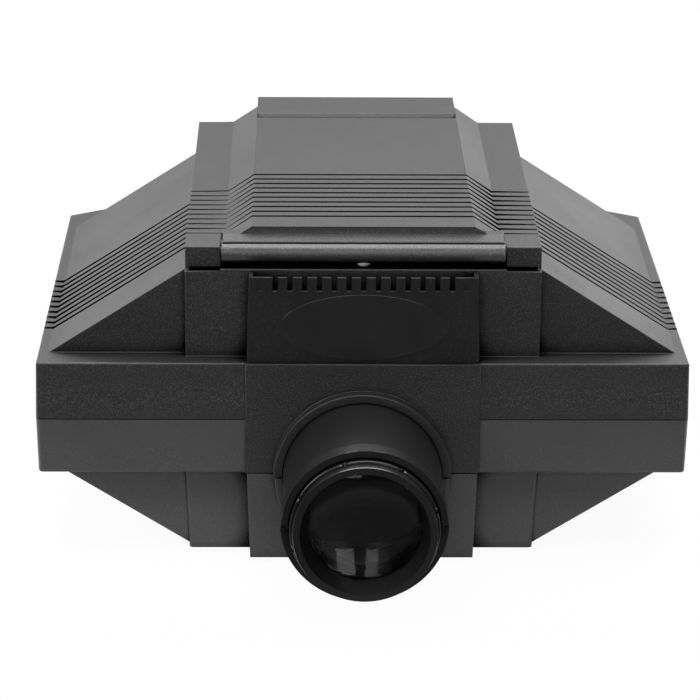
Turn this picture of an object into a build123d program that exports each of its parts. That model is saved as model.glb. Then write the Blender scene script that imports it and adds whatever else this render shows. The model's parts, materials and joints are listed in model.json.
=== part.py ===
from build123d import *
import os
from math import atan2, cos, hypot, radians, sin, sqrt, tan

os.makedirs("parts", exist_ok=True)

# An opaque projector. X runs across, Y runs back from the lens, Z is up. All lengths are in mm.
# The origin is under the middle of the overall box, on the surface that the feet stand on.

# Heights, stacked from the table up
foot_height = 4.0
belly_height = 65.5          # underside of the base to underside of the skirt, also the lens axis
lower_skirt_height = 41.6
upper_skirt_height = 41.8
wing_rise = 63.1
shoulder_rise = 16.6
lid_rise = 12.9
deck_rise = 2.0              # copy deck above the top of the wings
base_z = foot_height
axis_z = base_z + belly_height
parting_z = axis_z + lower_skirt_height
ledge_z = parting_z + upper_skirt_height
wing_top_z = ledge_z + wing_rise
deck_z = wing_top_z + deck_rise
shoulder_z = wing_top_z + shoulder_rise
lid_top_z = shoulder_z + lid_rise

# Depths, measured back from the front of the skirt
lens_reach = 111.7           # how far the lens stands in front of the skirt
body_depth = 384.0
face_depth = 15.6            # front wall of the centre body
block_depth = 22.0           # front of the hinge blocks
trench_depth = 39.0          # rear of the trench under the hinge
centre_depth = 345.6         # rear of the centre body
wing_front_depth = 23.2
wing_rear_depth = 317.2
base_front_depth = 17.5
base_rear_depth = 350.0
belly_front_depth = 21.5
belly_rear_depth = 319.0
front_y = (lens_reach - body_depth) / 2
face_y = front_y + face_depth
block_y = front_y + block_depth
trench_rear_y = front_y + trench_depth
centre_rear_y = front_y + centre_depth
wing_front_y = front_y + wing_front_depth
wing_rear_y = front_y + wing_rear_depth
base_front_y = front_y + base_front_depth
base_rear_y = front_y + base_rear_depth
belly_front_y = front_y + belly_front_depth
belly_rear_y = front_y + belly_rear_depth
skirt_rear_y = front_y + body_depth

# Half widths
skirt_half = 232.5
corner_width = 54.5          # width of the cut rear corners of the skirt
corner_cut = 35.0            # their depth
side_ledge = 8.5             # beside the foot of a wing
rear_half = skirt_half - corner_width
wing_half = skirt_half - side_ledge
body_half = 126.0            # centre body and lid
recess_half = 101.0          # room between the hinge blocks
nose_gap = 1.4               # beside the part of the lid between the blocks
nose_half = recess_half - nose_gap
crease_half = 98.5           # inner edge of the flat strips along the sides of the lid
plateau_half = 79.0
base_half = 124.8            # base at its foot
base_flare = 2.8             # how much wider the base is at its top, on each side
block_half = 80.5            # centre block of the base, at its foot
panel_half = 83.5            # lens panel
bay_half = 82.5              # vent panel, at its foot

# Walls, rounds and clearances
wall = 3.0
edge_round = 1.6
corner_round = 3.0
skirt_draft = 1.4            # degrees
skirt_lean = lower_skirt_height * tan(radians(skirt_draft))
groove_floor = 1.2           # wall left under a louver groove
part_gap = 0.2               # between fixed pieces that slip into each other
running = 0.05               # radial clearance of a turning or sliding fit
over = 1.0                   # how far a cut runs on past the surface that it opens

# Louver grooves
groove_count = 10
lid_groove_start = 53.5
lid_groove_pitch = 11.4
lid_groove_width = 3.4
wing_groove_start = 75.5
wing_groove_pitch = 11.7
wing_groove_width = 4.2

# Screws that join the two housings, as (x, distance behind the skirt's front)
screw_x_front = 205.0
screw_x_inner = 104.0
screw_y_front = 10.5
screw_x_rear = 200.0
screw_y_side = 334.0
screw_y_rear = 366.0
screw_x_back = 100.0
housing_screw_spots = [
    (side * x, front_y + y)
    for side in (-1, 1)
    for x, y in (
        (screw_x_front, screw_y_front),
        (screw_x_inner, screw_y_front),
        (screw_x_rear, screw_y_side),
        (screw_x_back, screw_y_rear),
    )
]
boss_radius = 4.8
housing_screw_radius = 1.6
housing_screw_head = 3.4
housing_screw_head_height = 2.4
housing_screw_bite = 14.0    # length of thread in the upper boss

# Hinge
hinge_depth = 26.0
hinge_drop = 4.6             # of its axis below the top of the blocks
hinge_y = front_y + hinge_depth
hinge_z = shoulder_z - hinge_drop
barrel_radius = 8.25
barrel_end_gap = 0.8
barrel_half = recess_half - barrel_end_gap
hinge_pin_radius = 3.0
hinge_pin_in_barrel = 22.0
hinge_pin_in_block = 20.0
pin_end_gap = 1.0            # at the inner end of a pin
block_lift = 1.8             # of the hinge blocks above the top of the wings
trench_drop = 7.0
block_bottom_z = wing_top_z + block_lift
trench_floor_z = wing_top_z - trench_drop
front_wall_rise = 0.5        # centre body above the top of the wings
body_top_z = wing_top_z + front_wall_rise
seam = 2.0                   # between the hinge blocks and the flat strips of the lid
flat_front_y = front_y + lid_groove_start + lid_groove_width / 2
block_rear_y = flat_front_y - seam

# Lens: radii about the lens axis
collar_radius = 63.4
tube_radius = 56.9
ring_radius = 58.5           # brow ring, at its rear
brow_radius = 57.6           # and at its front
mouth_radius = 52.4          # counterbore in the front of the tube
tube_bore = 51.87
collar_reach = 10.0
brow_reach = 100.7           # front of the upper half of the tube
under_reach = 91.3           # front of the lower half
ring_reach = 89.4            # rear of the ring
mouth_depth = 5.0
panel_proud = 1.5
panel_gap = 0.8              # shadow gap under the lens panel and the upper half of the collar
base_proud = 1.0             # centre block of the base in front of the skirt
collar_bore = tube_radius + part_gap
flange_radius = 61.6
flange_thickness = 3.0
lens_axis = Axis((0, 0, axis_z), (0, 1, 0))

# Copy window and glass
window = 178.0
window_depth = 165.0
window_y = front_y + window_depth
glass_size = 190.0
glass_thickness = 3.0
window_frame = 6.0           # width of the frame outside the glass

# Front vent
bay_setback = 2.0
bay_front_y = front_y + bay_setback
slot_count = 13
slot_pitch = 10.37
slot_width = 3.8
slot_height = 10.0
vent_window_half = 70.0
vent_rise = 0.4
vent_top_z = wing_top_z + vent_rise

# Rear cooling fans
fan_size = 50.0
fan_depth = 10.0
fan_x = 55.0
fan_lift = 1.0               # above the middle of the rear wall
fan_z = (ledge_z + wing_top_z) / 2 + fan_lift
fan_opening = 23.0
fan_screw_offset = 20.0
fan_screw_radius = 1.5

# Power inlet and switch, in the rear wall of the base
inlet_x = -70.0
inlet_width = 27.0
inlet_height = 20.0
switch_x = -25.0
switch_width = 19.0
switch_height = 13.0
socket_lift = 32.0
socket_z = base_z + socket_lift

# Feet
foot_radius = 11.0
foot_x = 104.0
foot_depth_front = 42.0
foot_depth_rear = 326.0
foot_y_front = front_y + foot_depth_front
foot_y_rear = front_y + foot_depth_rear
foot_spots = [(side * foot_x, y) for side in (-1, 1) for y in (foot_y_front, foot_y_rear)]
foot_screw_radius = 1.75

# Standoffs for the driver board
board_width = 120.0
board_depth = 80.0
board_place = 285.0          # of its middle behind the front
board_y = front_y + board_place
board_hole_inset = 6.0
board_lift = 8.0
board_screw_radius = 1.25
board_post_radius = 3.0
board_screw_head_height = 1.8
board_thickness = 1.6
floor_z = base_z + wall

# Tube screws, on a circle in the flange
tube_screw_circle = 59.4
tube_screw_radius = 1.1
tube_screw_head = 1.9
tube_screw_angles = (35, 145, 215, 325)

# Lower housing
belly_lift = 2.6             # how far the belly slopes start above the base
parting_seam = 0.7           # height of the shadow line under the upper housing
seam_depth = 1.2

# Housing screws and feet
foot_screw_head = 3.5
foot_screw_recess = 1.5      # height of rubber left clear below the screw head
foot_screw_head_height = 1.4
foot_edge_round = 0.8
screw_slot_length = 3.6
screw_slot_width = 0.9
screw_slot_depth = 1.2

# Front vent panel and name plate
vent_wall = 3.0
blind_slot_depth = 0.8       # of the two end slots, which are not cut through
label_half_width = 58.9
label_half_height = 24.5
label_lift = 26.5
label_z = ledge_z + label_lift
label_thickness = 1.2
label_proud = 0.3
vent_half_top = 80.7
vent_edge_round = 1.0

# Lid, with its liner and pressure pad
pad_size = 176.0
pad_corner = 4.0
pad_thickness = 9.0
copy_gap = 1.2               # room for the copy between the glass and the pad
pad_z = deck_z + copy_gap
liner_z = pad_z + pad_thickness
liner_thickness = 2.5
liner_gap = 0.4
liner_screw_x = 84.0
liner_screw_radius = 1.4
liner_screw_head = 2.6
liner_screw_head_height = 1.6
liner_screw_bite = 4.0
liner_post_radius = 3.2
liner_half = 92.0
liner_screw_depth_front = 52.0
liner_screw_depth_rear = 300.0
liner_screw_y_front = front_y + liner_screw_depth_front
liner_screw_y_rear = front_y + liner_screw_depth_rear
liner_screw_spots = [
    (side * liner_screw_x, y) for side in (-1, 1) for y in (liner_screw_y_front, liner_screw_y_rear)
]
hinge_screw_radius = 2.0
hinge_screw_head = 5.0
hinge_screw_head_height = 3.3
hinge_screw_dome = 2.6       # rounding of the head
hinge_screw_seat = 1.4       # depth of the flat under the barrel that the head bears on
lid_wall = 3.0
lid_rear_y = centre_rear_y
grip_reach = 30.4            # of the rear lip behind the rear wall
lip_rear_y = lid_rear_y + grip_reach
lip_depth = 14.0
facet_depth = 29.0
facet_y = front_y + facet_depth
strip_overhang = 4.5         # of the strip in front of the hinge axis
strip_front_rise = 8.5       # its heights above the hinge axis
strip_rear_rise = 12.0
strip_front_y = hinge_y - strip_overhang
strip_front_z = hinge_z + strip_front_rise
strip_rear_z = hinge_z + strip_rear_rise
front_wall_gap = 0.4         # between the hinge barrel and the lid's front wall
lid_front_wall_y = hinge_y + barrel_radius + front_wall_gap
rim_gap = 1.5                # under the walls between the hinge blocks
lid_gap = 0.5                # under the outer walls
rim_z = deck_z + rim_gap
lid_edge_z = body_top_z + lid_gap
deck_gap = 1.5               # between the raised deck and the outer walls
deck_half = body_half - lid_wall - deck_gap
deck_front_y = flat_front_y + lid_wall + deck_gap
deck_rear_y = lid_rear_y - lid_wall - deck_gap
scoop_front_depth = 313.2
scoop_rear_depth = 326.7
scoop_front_y = front_y + scoop_front_depth
scoop_rear_y = front_y + scoop_rear_depth
scoop_bevel = 3.0
scoop_depth = 5.0
scoop_margin = 0.6           # of the plateau left at each end of the finger groove
plateau_round = 0.8

# Copy glass and its clips
clip_size = 12.0
clip_thickness = 1.0
clip_overlap = 6.0           # of the clip onto the glass
clip_screw_radius = 1.2
clip_screw_bite = 5.0        # into the frame of the window
clip_screw_head = 2.2
countersink = 45.0           # degrees
clip_centre = glass_size / 2 - clip_overlap + clip_size / 2
clip_screw_margin = 3.2      # of the screws outside the glass
clip_screw_centre = glass_size / 2 + clip_screw_margin
clip_spots = [(i * clip_centre, window_y + k * clip_centre) for i in (-1, 1) for k in (-1, 1)]
clip_screw_spots = [
    (i * clip_screw_centre, window_y + k * clip_screw_centre) for i in (-1, 1) for k in (-1, 1)
]

# Mirror, its bracket and the baffle
mirror_width = 160.0
mirror_thickness = 4.0
mirror_foot = 76.0           # down the slope from the lens axis
mirror_head = 108.0          # up the slope from the lens axis
bracket_thickness = 2.0
bracket_margin = 2.0
gusset_reach = 70.0
mirror_plane = Plane(origin=(0, window_y, axis_z), x_dir=(1, 0, 0), z_dir=(0, -1, 1))
mirror_middle = (mirror_head - mirror_foot) / 2
mirror_clip_width = 14.0
mirror_clip_grip = 4.0
mirror_clip_thickness = 1.2
baffle_depth = 50.0
baffle_y = front_y + baffle_depth
baffle_half = 116.0
baffle_rise = 70.0
baffle_top = axis_z + baffle_rise
baffle_window_half = 56.0
baffle_thickness = 2.0
baffle_foot = 12.0

# Lens tube, two halves
tube_rear_y = front_y + wall + flange_thickness
brow_y = front_y - brow_reach
under_y = front_y - under_reach
ring_y = front_y - ring_reach
seam_pit = 2.7
seam_pit_radius = 55.9       # of its middle
seam_pit_depth = 3.5
key_width = 5.0
key_side_gap = 0.2
key_reach = 53.6
key_overlap = 0.6            # of the keys into the tail of the cell
keyway_reach = 54.2
keyway_front_reach = 64.0
keyway_front_y = front_y - keyway_front_reach
guide_place = 68.0           # in front of the skirt
guide_y = front_y - guide_place
guide_angle = 250.0
guide_radius = 1.6
guide_gap = 0.1
guide_head = 2.8
guide_head_height = 1.6
groove_radius = 50.0         # floor of the helical groove in the barrel
tube_tip_gap = 0.3           # between the guide screw and the floor of its groove
tube_screw_head_height = 1.4

# Focus barrel
nose_radius = 50.0
rim_radius = 49.6
rim_bore = 44.8
rim_flat = 1.2
nose_length = 6.6
shoulder_radius = 51.0       # front edge of the thicker part, behind the nose
shoulder_length = 1.0
barrel_length = 95.0
hood_bore = 40.3
hood_length = 15.0
hood_lip = 2.0
cell_radius = 46.45
barrel_cell_bore = cell_radius + running
retainer_radius = 49.0
retainer_length = 4.0
retainer_bore = 44.0
notch_count = 8
notch_angle = 106.0          # of the first notch
notch_width = 2.4
notch_depth = 2.6
focus_in = 8.0               # travel back from the position shown
focus_out = 45.0             # travel forward
focus_lead = 72.0            # travel of one full turn
groove_margin = 2.5          # of the groove past the guide screw at each end of the travel
lens_front_y = front_y - lens_reach
barrel_rear_y = lens_front_y + barrel_length
barrel_body = tube_bore - running
groove_start = -focus_in - groove_margin
groove_angle = guide_angle - 360 * groove_start / focus_lead
groove_plane = Plane(
    origin=(0, guide_y + groove_start, axis_z),
    x_dir=(cos(radians(groove_angle)), 0, sin(radians(groove_angle))),
    z_dir=(0, 1, 0),
)
groove_path = groove_plane * Helix(focus_lead, focus_in + focus_out + 2 * groove_margin, barrel_body)

# Lens cell and glass elements
cell_play = 0.3              # end play of the cell in the barrel
cell_bore = 42.5
cell_lip = 40.6
cell_lip_length = 1.5
cell_front_y = lens_front_y + hood_length + hood_lip + cell_play
cell_rear_y = barrel_rear_y - retainer_length - cell_play
cell_tail_radius = 43.6
cell_tail_bore = 41.0
key_length = 8.0
key_gap = 1.5                # between the keys and the rear of the barrel
key_front_y = barrel_rear_y + key_gap
element_radius = cell_bore - part_gap
front_edge = 3.0             # edge thicknesses of the three elements
front_bulge = 4.5
middle_edge = 8.0
middle_hollow = 2.6
rear_edge = 3.0
rear_bulge = 3.6
element_land = 1.8           # flat rim round each curved face
curve_radius = element_radius - element_land
seat_bore = 41.1             # bore where a ring bears on that rim
spacer_bore = 39.6
spacer_taper = 2.0
lock_ring_length = 4.0
front_element_y = cell_front_y + cell_lip_length
rear_element_y = cell_rear_y - lock_ring_length - rear_edge
middle_shift = 8.0           # of the middle element behind the middle of the cell
middle_element_y = (front_element_y + rear_element_y) / 2 + middle_shift

# Lights in the wings
belly_rise = belly_height - belly_lift
belly_run = wing_half - base_half
belly_angle = atan2(belly_rise, belly_run)
slope_plane = Plane(
    origin=((wing_half + base_half) / 2, window_y, base_z + belly_lift + belly_rise / 2),
    x_dir=(0, 1, 0),
    z_dir=(-sin(belly_angle), 0, cos(belly_angle)),
)
sink_length = 150.0
sink_width = 84.0
sink_base = 3.0
fin_height = 10.0
fin_thickness = 1.5
fin_count = 8
fin_pitch = 9.4
fin_length = 126.0
fin_gap = 2.0
light_board_length = 144.0
light_board_width = 78.0
led_rows = 3
led_columns = 6
led_size = 7.0
led_height = 1.5
led_pitch = 21.0
diffuser_length = 132.0
diffuser_lift = 14.0
diffuser_thickness = 2.0
diffuser_post_radius = 2.2
diffuser_post_x = 58.0
diffuser_post_y = 32.0
light_post_x = 69.0
light_post_y = 35.0
light_post_radius = 3.5
light_screw_radius = 1.4
light_screw_head = 2.6
light_screw_head_height = 1.8
light_screw_bite = 5.0
sink_lift = wall + fin_gap + fin_height
board_face = sink_lift + sink_base + board_thickness

# Cooling fans and grilles
fan_rear_y = centre_rear_y - wall
fan_bore_step = 0.6          # the frame's bore beyond the opening in the wall
fan_bore = fan_opening + fan_bore_step
fan_corner = 3.0
fan_screw_head_height = 1.6
screw_short = 1.0            # room past the end of a screw in its hole
hub_radius = 9.0
hub_plate = 2.0
rotor_gap = 0.4
rotor_length = 6.5
rotor_radius = 22.0
blade_count = 7
blade_chord = 9.0
blade_root = 1.0             # how far the blades start inside the hub
blade_thickness = 1.2
blade_tilt = 38.0
rotor_face = 0.8             # thickness of the hub's closed front
shaft_radius = 1.5
strut_count = 3
strut_width = 2.6
grille_size = 54.0
grille_thickness = 2.0
grille_slots = 7
grille_slot_width = 3.4
grille_slot_pitch = 5.6
grille_rim = 2.0             # left at the ends of the slots
fan_screw_head = 2.8
rotor_rear_y = fan_rear_y - hub_plate - rotor_gap

# Driver board
board_z = floor_z + board_lift
board_top_z = board_z + board_thickness
transformer_width = 30.0
transformer_depth = 26.0
transformer_height = 24.0
transformer_x = 22.0
coil_width = 22.0            # winding, which stands out of the core at front and rear
coil_depth = 34.0
coil_height = 10.0
coil_lift = 7.0
capacitor_radius = 6.0
capacitor_height = 20.0
capacitor_pitch = 16.0
capacitor_x = -22.0

# Power inlet and switch
flange_lap = 2.0
inlet_flange = 2.0
inlet_body_depth = 22.0
inlet_wall = 1.5
inlet_cavity = 18.0
pin_length = 11.0
pin_width = 2.4
pin_height = 5.0
pin_spread = 7.0
switch_flange = 1.5
switch_lap = 1.2
switch_body_depth = 14.0
rocker_half = 7.0
rocker_width = 9.0
rocker_tilt = 9.0
rocker_depth = 4.0
rocker_heel = 5.6
rocker_heel_depth = 2.4
rocker_crown = 2.6
rocker_dip = 1.2
rocker_side_gap = 0.3
switch_cavity = 6.5
trunnion_radius = 1.0
trunnion_length = 1.2
pivot_proud = 0.2
pivot_y = base_rear_y + pivot_proud
rocker_end_gap = 0.7
inlet_chamfer = 3.5
pin_offset = 2.2             # of the pins above and below the middle of the inlet
rocker_plane = Plane(
    origin=(switch_x, pivot_y, socket_z),
    x_dir=(cos(radians(rocker_tilt)), -sin(radians(rocker_tilt)), 0),
    z_dir=(0, 0, 1),
)

# Wires inside the housing, as corner points of their routes
wire_radius = 1.1
wire_bend = 7.0
wire_lift = 40.0             # height of the light wires above the driver board
wire_drop = 18.0             # from there down onto the light board
wire_x = 50.0
wire_setback = 25.0
wire_y = board_y - wire_setback
light_wire_end = slope_plane.offset(board_face).from_local_coords((light_post_x, 0, 0))
light_wire_turn = slope_plane.offset(board_face + wire_drop).from_local_coords((light_post_x, 0, 0))
light_wire_route = [
    (wire_x, wire_y, board_top_z),
    (wire_x, wire_y, board_top_z + wire_lift),
    (light_wire_turn.X, wire_y, light_wire_turn.Z),
    light_wire_turn,
    light_wire_end,
]
terminal_depth = 40.0
terminal_y = base_rear_y - terminal_depth
terminal_spread = 4.0
inlet_wire_route = [
    (inlet_x, base_rear_y - inlet_body_depth, socket_z),
    (inlet_x, terminal_y, socket_z),
    (switch_x - terminal_spread, terminal_y, socket_z),
    (switch_x - terminal_spread, base_rear_y - switch_body_depth, socket_z),
]
switch_wire_route = [
    (switch_x + terminal_spread, base_rear_y - switch_body_depth, socket_z),
    (switch_x + terminal_spread, terminal_y, socket_z),
    (switch_x + terminal_spread, terminal_y, board_top_z),
]
fan_wire_x = 40.0
fan_wire_y = fan_rear_y - fan_depth / 2
fan_wire_lift = 23.0
fan_wire_inset = 7.0         # from the rear edge of the board
fan_wire_z = board_top_z + fan_wire_lift
fan_wire_end_y = board_y + board_depth / 2 - fan_wire_inset
fan_wire_route = [
    (fan_wire_x, fan_wire_y, fan_z - fan_size / 2),
    (fan_wire_x, fan_wire_y, fan_wire_z),
    (fan_wire_x, fan_wire_end_y, fan_wire_z),
    (fan_wire_x, fan_wire_end_y, board_top_z),
]
fan_wire_route_left = [(-x, y, z) for x, y, z in fan_wire_route]


def wedge_profile(wide, narrow, wide_z, narrow_z, inset, overlap):
    """Trapezoid across the body that narrows from wide_z to narrow_z, with its slopes and narrow end
    moved in by inset and its wide end carried on by overlap."""
    run = wide - narrow
    rise = narrow_z - wide_z
    sense = 1 if rise > 0 else -1
    shift = inset * hypot(run, rise) / abs(rise)
    end_z = narrow_z - sense * inset
    start_z = wide_z - sense * overlap
    end_x = wide - run * (end_z - wide_z) / rise - shift
    start_x = wide - run * (start_z - wide_z) / rise - shift
    return [(-start_x, start_z), (start_x, start_z), (end_x, end_z), (-end_x, end_z)]


def skirt_outline(inset):
    """Plan of the skirt: straight sides, and rear corners cut off at an angle."""
    slant = hypot(corner_width, corner_cut)
    half = skirt_half - inset
    rear = rear_half - inset * (slant - corner_width) / corner_cut
    side_end = skirt_rear_y - corner_cut - inset * (slant - corner_cut) / corner_width
    return [
        (-half, front_y + inset),
        (half, front_y + inset),
        (half, side_end),
        (rear, skirt_rear_y - inset),
        (-rear, skirt_rear_y - inset),
        (-half, side_end),
    ]


def tube_screw_spots():
    """Places of the tube screws on a plane across the lens axis."""
    return [
        (tube_screw_circle * cos(radians(a)), axis_z + tube_screw_circle * sin(radians(a)))
        for a in tube_screw_angles
    ]


def across(y):
    """Plane across the body at y, drawn in X and Z, with extrusions running towards the front."""
    return Plane.XZ.offset(-y)


def ring_profile(points):
    """Places of (y, radius) points on the plane through the lens axis."""
    return [(y, axis_z + radius) for y, radius in points]


def spoke(angle, y):
    """Plane square to the lens axis's radius at an angle, facing outwards."""
    outwards = (cos(radians(angle)), 0, sin(radians(angle)))
    return Plane(origin=(0, y, axis_z), x_dir=(0, 1, 0), z_dir=outwards)


def crown(y, bulge):
    """Half of a spherical face of a glass element: an arc from its rim at y to its top, bulge on."""
    sphere = (curve_radius ** 2 + bulge ** 2) / (2 * bulge)
    half_way = sqrt(sphere ** 2 - curve_radius ** 2 / 4) - abs(sphere) + abs(bulge)
    half_rise = half_way if bulge > 0 else -half_way
    ThreePointArc(
        (y, axis_z + curve_radius),
        (y + half_rise, axis_z + curve_radius / 2),
        (y + bulge, axis_z),
    )


def light_grid(half_x, half_y):
    return GridLocations(2 * half_x, 2 * half_y, 2, 2)


def board_grid():
    return GridLocations(board_width - 2 * board_hole_inset, board_depth - 2 * board_hole_inset, 2, 2)


def fan_screw_spots(side):
    """Corner holes of one fan, on a plane across the body."""
    return [
        (side * fan_x + i * fan_screw_offset, fan_z + k * fan_screw_offset)
        for i in (-1, 1)
        for k in (-1, 1)
    ]


# Upper housing
with BuildPart() as upper_housing:
    with BuildSketch(Plane.XY.offset(parting_z)):
        Polygon(*skirt_outline(0), align=None)
        fillet(vertices(), radius=corner_round)
    extrude(amount=upper_skirt_height, taper=skirt_draft)
    fillet(upper_housing.faces().sort_by(Axis.Z)[-1].edges(), radius=edge_round)
    with BuildSketch(across(wing_rear_y)):
        Polygon(*wedge_profile(wing_half, body_half, ledge_z, wing_top_z, 0, wall / 2), align=None)
    extrude(amount=wing_rear_y - wing_front_y)
    with BuildSketch(Plane.YZ):
        with Locations((face_y, ledge_z - wall / 2)):
            Rectangle(centre_rear_y - face_y, body_top_z - ledge_z + wall / 2, align=(Align.MIN, Align.MIN))
    extrude(amount=body_half, both=True)
    # raised deck, which stands inside the walls of the lid
    with BuildSketch(Plane.XY.offset(wing_top_z)):
        with Locations((0, face_y)):
            Rectangle(2 * recess_half, deck_rear_y - face_y, align=(Align.CENTER, Align.MIN))
        with Locations((0, deck_front_y)):
            Rectangle(2 * deck_half, deck_rear_y - deck_front_y, align=(Align.CENTER, Align.MIN))
    extrude(amount=deck_rise)
    # hinge blocks
    with BuildSketch(Plane.YZ):
        with Locations((block_y, wing_top_z)):
            Rectangle(block_rear_y - block_y, shoulder_rise, align=(Align.MIN, Align.MIN))
    extrude(amount=body_half, both=True)
    with BuildSketch(Plane.YZ):
        with Locations((block_y - wall, deck_z)):
            Rectangle(block_rear_y - block_y + 2 * wall, shoulder_rise, align=(Align.MIN, Align.MIN))
    extrude(amount=recess_half, both=True, mode=Mode.SUBTRACT)
    # hollow of the skirt, the wings and the centre body
    with BuildSketch(Plane.XY.offset(parting_z)):
        Polygon(*skirt_outline(wall), align=None)
    extrude(amount=upper_skirt_height - wall, taper=skirt_draft, mode=Mode.SUBTRACT)
    with BuildSketch(across(wing_rear_y - wall)):
        Polygon(*wedge_profile(wing_half, body_half, ledge_z, wing_top_z, wall, wall + over), align=None)
    extrude(amount=wing_rear_y - wing_front_y - 2 * wall, mode=Mode.SUBTRACT)
    with BuildSketch(Plane.YZ):
        Polygon(
            (face_y + wall, ledge_z - wall - over),
            (face_y + wall, trench_floor_z - wall),
            (trench_rear_y + wall, trench_floor_z - wall),
            (trench_rear_y + wall, body_top_z - wall),
            (centre_rear_y - wall, body_top_z - wall),
            (centre_rear_y - wall, ledge_z - wall - over),
            align=None,
        )
    extrude(amount=body_half - wall, both=True, mode=Mode.SUBTRACT)
    with BuildSketch(Plane.XY.offset(deck_z - wall)):
        with Locations((0, deck_front_y + wall)):
            Rectangle(2 * (deck_half - wall), deck_rear_y - deck_front_y - 2 * wall,
                      align=(Align.CENTER, Align.MIN))
    extrude(amount=-wall, mode=Mode.SUBTRACT)
    # trench under the hinge barrel and the hinge blocks
    with BuildSketch(Plane.YZ):
        with Locations((face_y + wall / 2, trench_floor_z - wall)):
            Rectangle(trench_rear_y - face_y + wall / 2, body_top_z - trench_floor_z + wall,
                      align=(Align.MIN, Align.MIN))
    extrude(amount=body_half - wall / 2, both=True)
    with BuildSketch(Plane.YZ):
        with Locations((face_y + wall, trench_floor_z)):
            Rectangle(trench_rear_y - face_y - wall, block_bottom_z - trench_floor_z,
                      align=(Align.MIN, Align.MIN))
    extrude(amount=body_half - wall, both=True, mode=Mode.SUBTRACT)
    with BuildSketch(Plane.YZ):
        with Locations((face_y + wall, trench_floor_z)):
            Rectangle(trench_rear_y - face_y - wall, shoulder_z, align=(Align.MIN, Align.MIN))
    extrude(amount=recess_half, both=True, mode=Mode.SUBTRACT)
    # holes for the hinge pins
    with BuildSketch(Plane.YZ):
        with Locations((hinge_y, hinge_z)):
            Circle(hinge_pin_radius)
    extrude(amount=recess_half + hinge_pin_in_block, both=True, mode=Mode.SUBTRACT)
    # frame of the copy window, with a rebate for the glass
    with BuildSketch(Plane.XY.offset(deck_z - wall)):
        with Locations((0, window_y)):
            Rectangle(glass_size + 2 * window_frame, glass_size + 2 * window_frame)
    extrude(amount=-glass_thickness)
    with BuildSketch(Plane.XY.offset(deck_z)):
        with Locations((0, window_y)):
            Rectangle(glass_size + part_gap, glass_size + part_gap)
    extrude(amount=-glass_thickness, mode=Mode.SUBTRACT)
    with BuildSketch(Plane.XY.offset(deck_z)):
        with Locations((0, window_y)):
            Rectangle(window, window)
    extrude(amount=-2 * glass_thickness - wall, mode=Mode.SUBTRACT)
    with BuildSketch(Plane.XY.offset(deck_z)):
        with Locations(*clip_screw_spots):
            Circle(clip_screw_radius)
    extrude(amount=-clip_screw_bite, mode=Mode.SUBTRACT)
    # air inlet behind the vent panel
    with BuildSketch(across(face_y + wall)):
        with Locations((0, ledge_z + wall)):
            Rectangle(2 * vent_window_half, trench_floor_z - ledge_z - 4 * wall,
                      align=(Align.CENTER, Align.MIN))
    extrude(amount=wall, mode=Mode.SUBTRACT)
    # lens panel and half collar
    with BuildSketch(across(front_y + wall)):
        with Locations((0, axis_z)):
            Rectangle(2 * panel_half, ledge_z - axis_z, align=(Align.CENTER, Align.MIN))
    extrude(amount=wall)
    with BuildSketch(across(front_y)):
        with Locations((0, axis_z + panel_gap)):
            Rectangle(2 * panel_half, ledge_z - axis_z - panel_gap, align=(Align.CENTER, Align.MIN))
    extrude(amount=panel_proud)
    with BuildSketch(across(front_y)):
        with Locations((0, axis_z)):
            Circle(collar_radius)
        with Locations((0, axis_z + panel_gap)):
            Rectangle(2 * collar_radius + over, 2 * collar_radius, align=(Align.CENTER, Align.MAX),
                      mode=Mode.SUBTRACT)
    extrude(amount=collar_reach)
    with BuildSketch(across(front_y + 2 * wall)):
        with Locations((0, axis_z)):
            Circle(collar_bore)
    extrude(amount=collar_reach + 3 * wall, mode=Mode.SUBTRACT)
    with BuildSketch(across(tube_rear_y + part_gap)):
        with Locations((0, axis_z)):
            Circle(flange_radius + part_gap)
    extrude(amount=flange_thickness + part_gap, mode=Mode.SUBTRACT)
    with BuildSketch(across(front_y + wall)):
        with Locations(*[spot for spot in tube_screw_spots() if spot[1] > axis_z]):
            Circle(tube_screw_radius)
    extrude(amount=wall + collar_reach / 2, mode=Mode.SUBTRACT)
    # louver grooves over the wings and ledges
    slope = wing_rise / (wing_half - body_half)
    wing_cut = wall - groove_floor
    drop = wing_cut * hypot(1, slope)
    kink_x = wing_half - (drop - wing_cut) / slope
    for side in (-1, 1):
        with BuildSketch(across(front_y + wing_groove_start - wing_groove_width / 2)):
            Polygon(
                (side * body_half, wing_top_z - drop),
                (side * kink_x, ledge_z - wing_cut),
                (side * (skirt_half + wall), ledge_z - wing_cut),
                (side * (skirt_half + wall), body_top_z),
                (side * body_half, body_top_z),
                align=None,
            )
    wing_groove = extrude(amount=-wing_groove_width, mode=Mode.PRIVATE)
    with Locations(*[(0, i * wing_groove_pitch, 0) for i in range(groove_count)]):
        add(wing_groove, mode=Mode.SUBTRACT)
    # openings for the cooling fans
    with BuildSketch(across(centre_rear_y + over)):
        with Locations((-fan_x, fan_z), (fan_x, fan_z)):
            Circle(fan_opening)
        with Locations(*fan_screw_spots(1), *fan_screw_spots(-1)):
            Circle(fan_screw_radius)
    extrude(amount=wall + 2 * over, mode=Mode.SUBTRACT)
    # screw bosses
    with BuildSketch(Plane.XY.offset(parting_z)):
        with Locations(*housing_screw_spots):
            Circle(boss_radius)
    extrude(amount=upper_skirt_height - wall / 2)
    with BuildSketch(Plane.XY.offset(parting_z)):
        with Locations(*housing_screw_spots):
            Circle(housing_screw_radius)
    extrude(amount=housing_screw_bite + screw_short, mode=Mode.SUBTRACT)
upper_housing.part.label = "upper_housing"
export_step(upper_housing.part, "parts/upper_housing.step")

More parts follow.
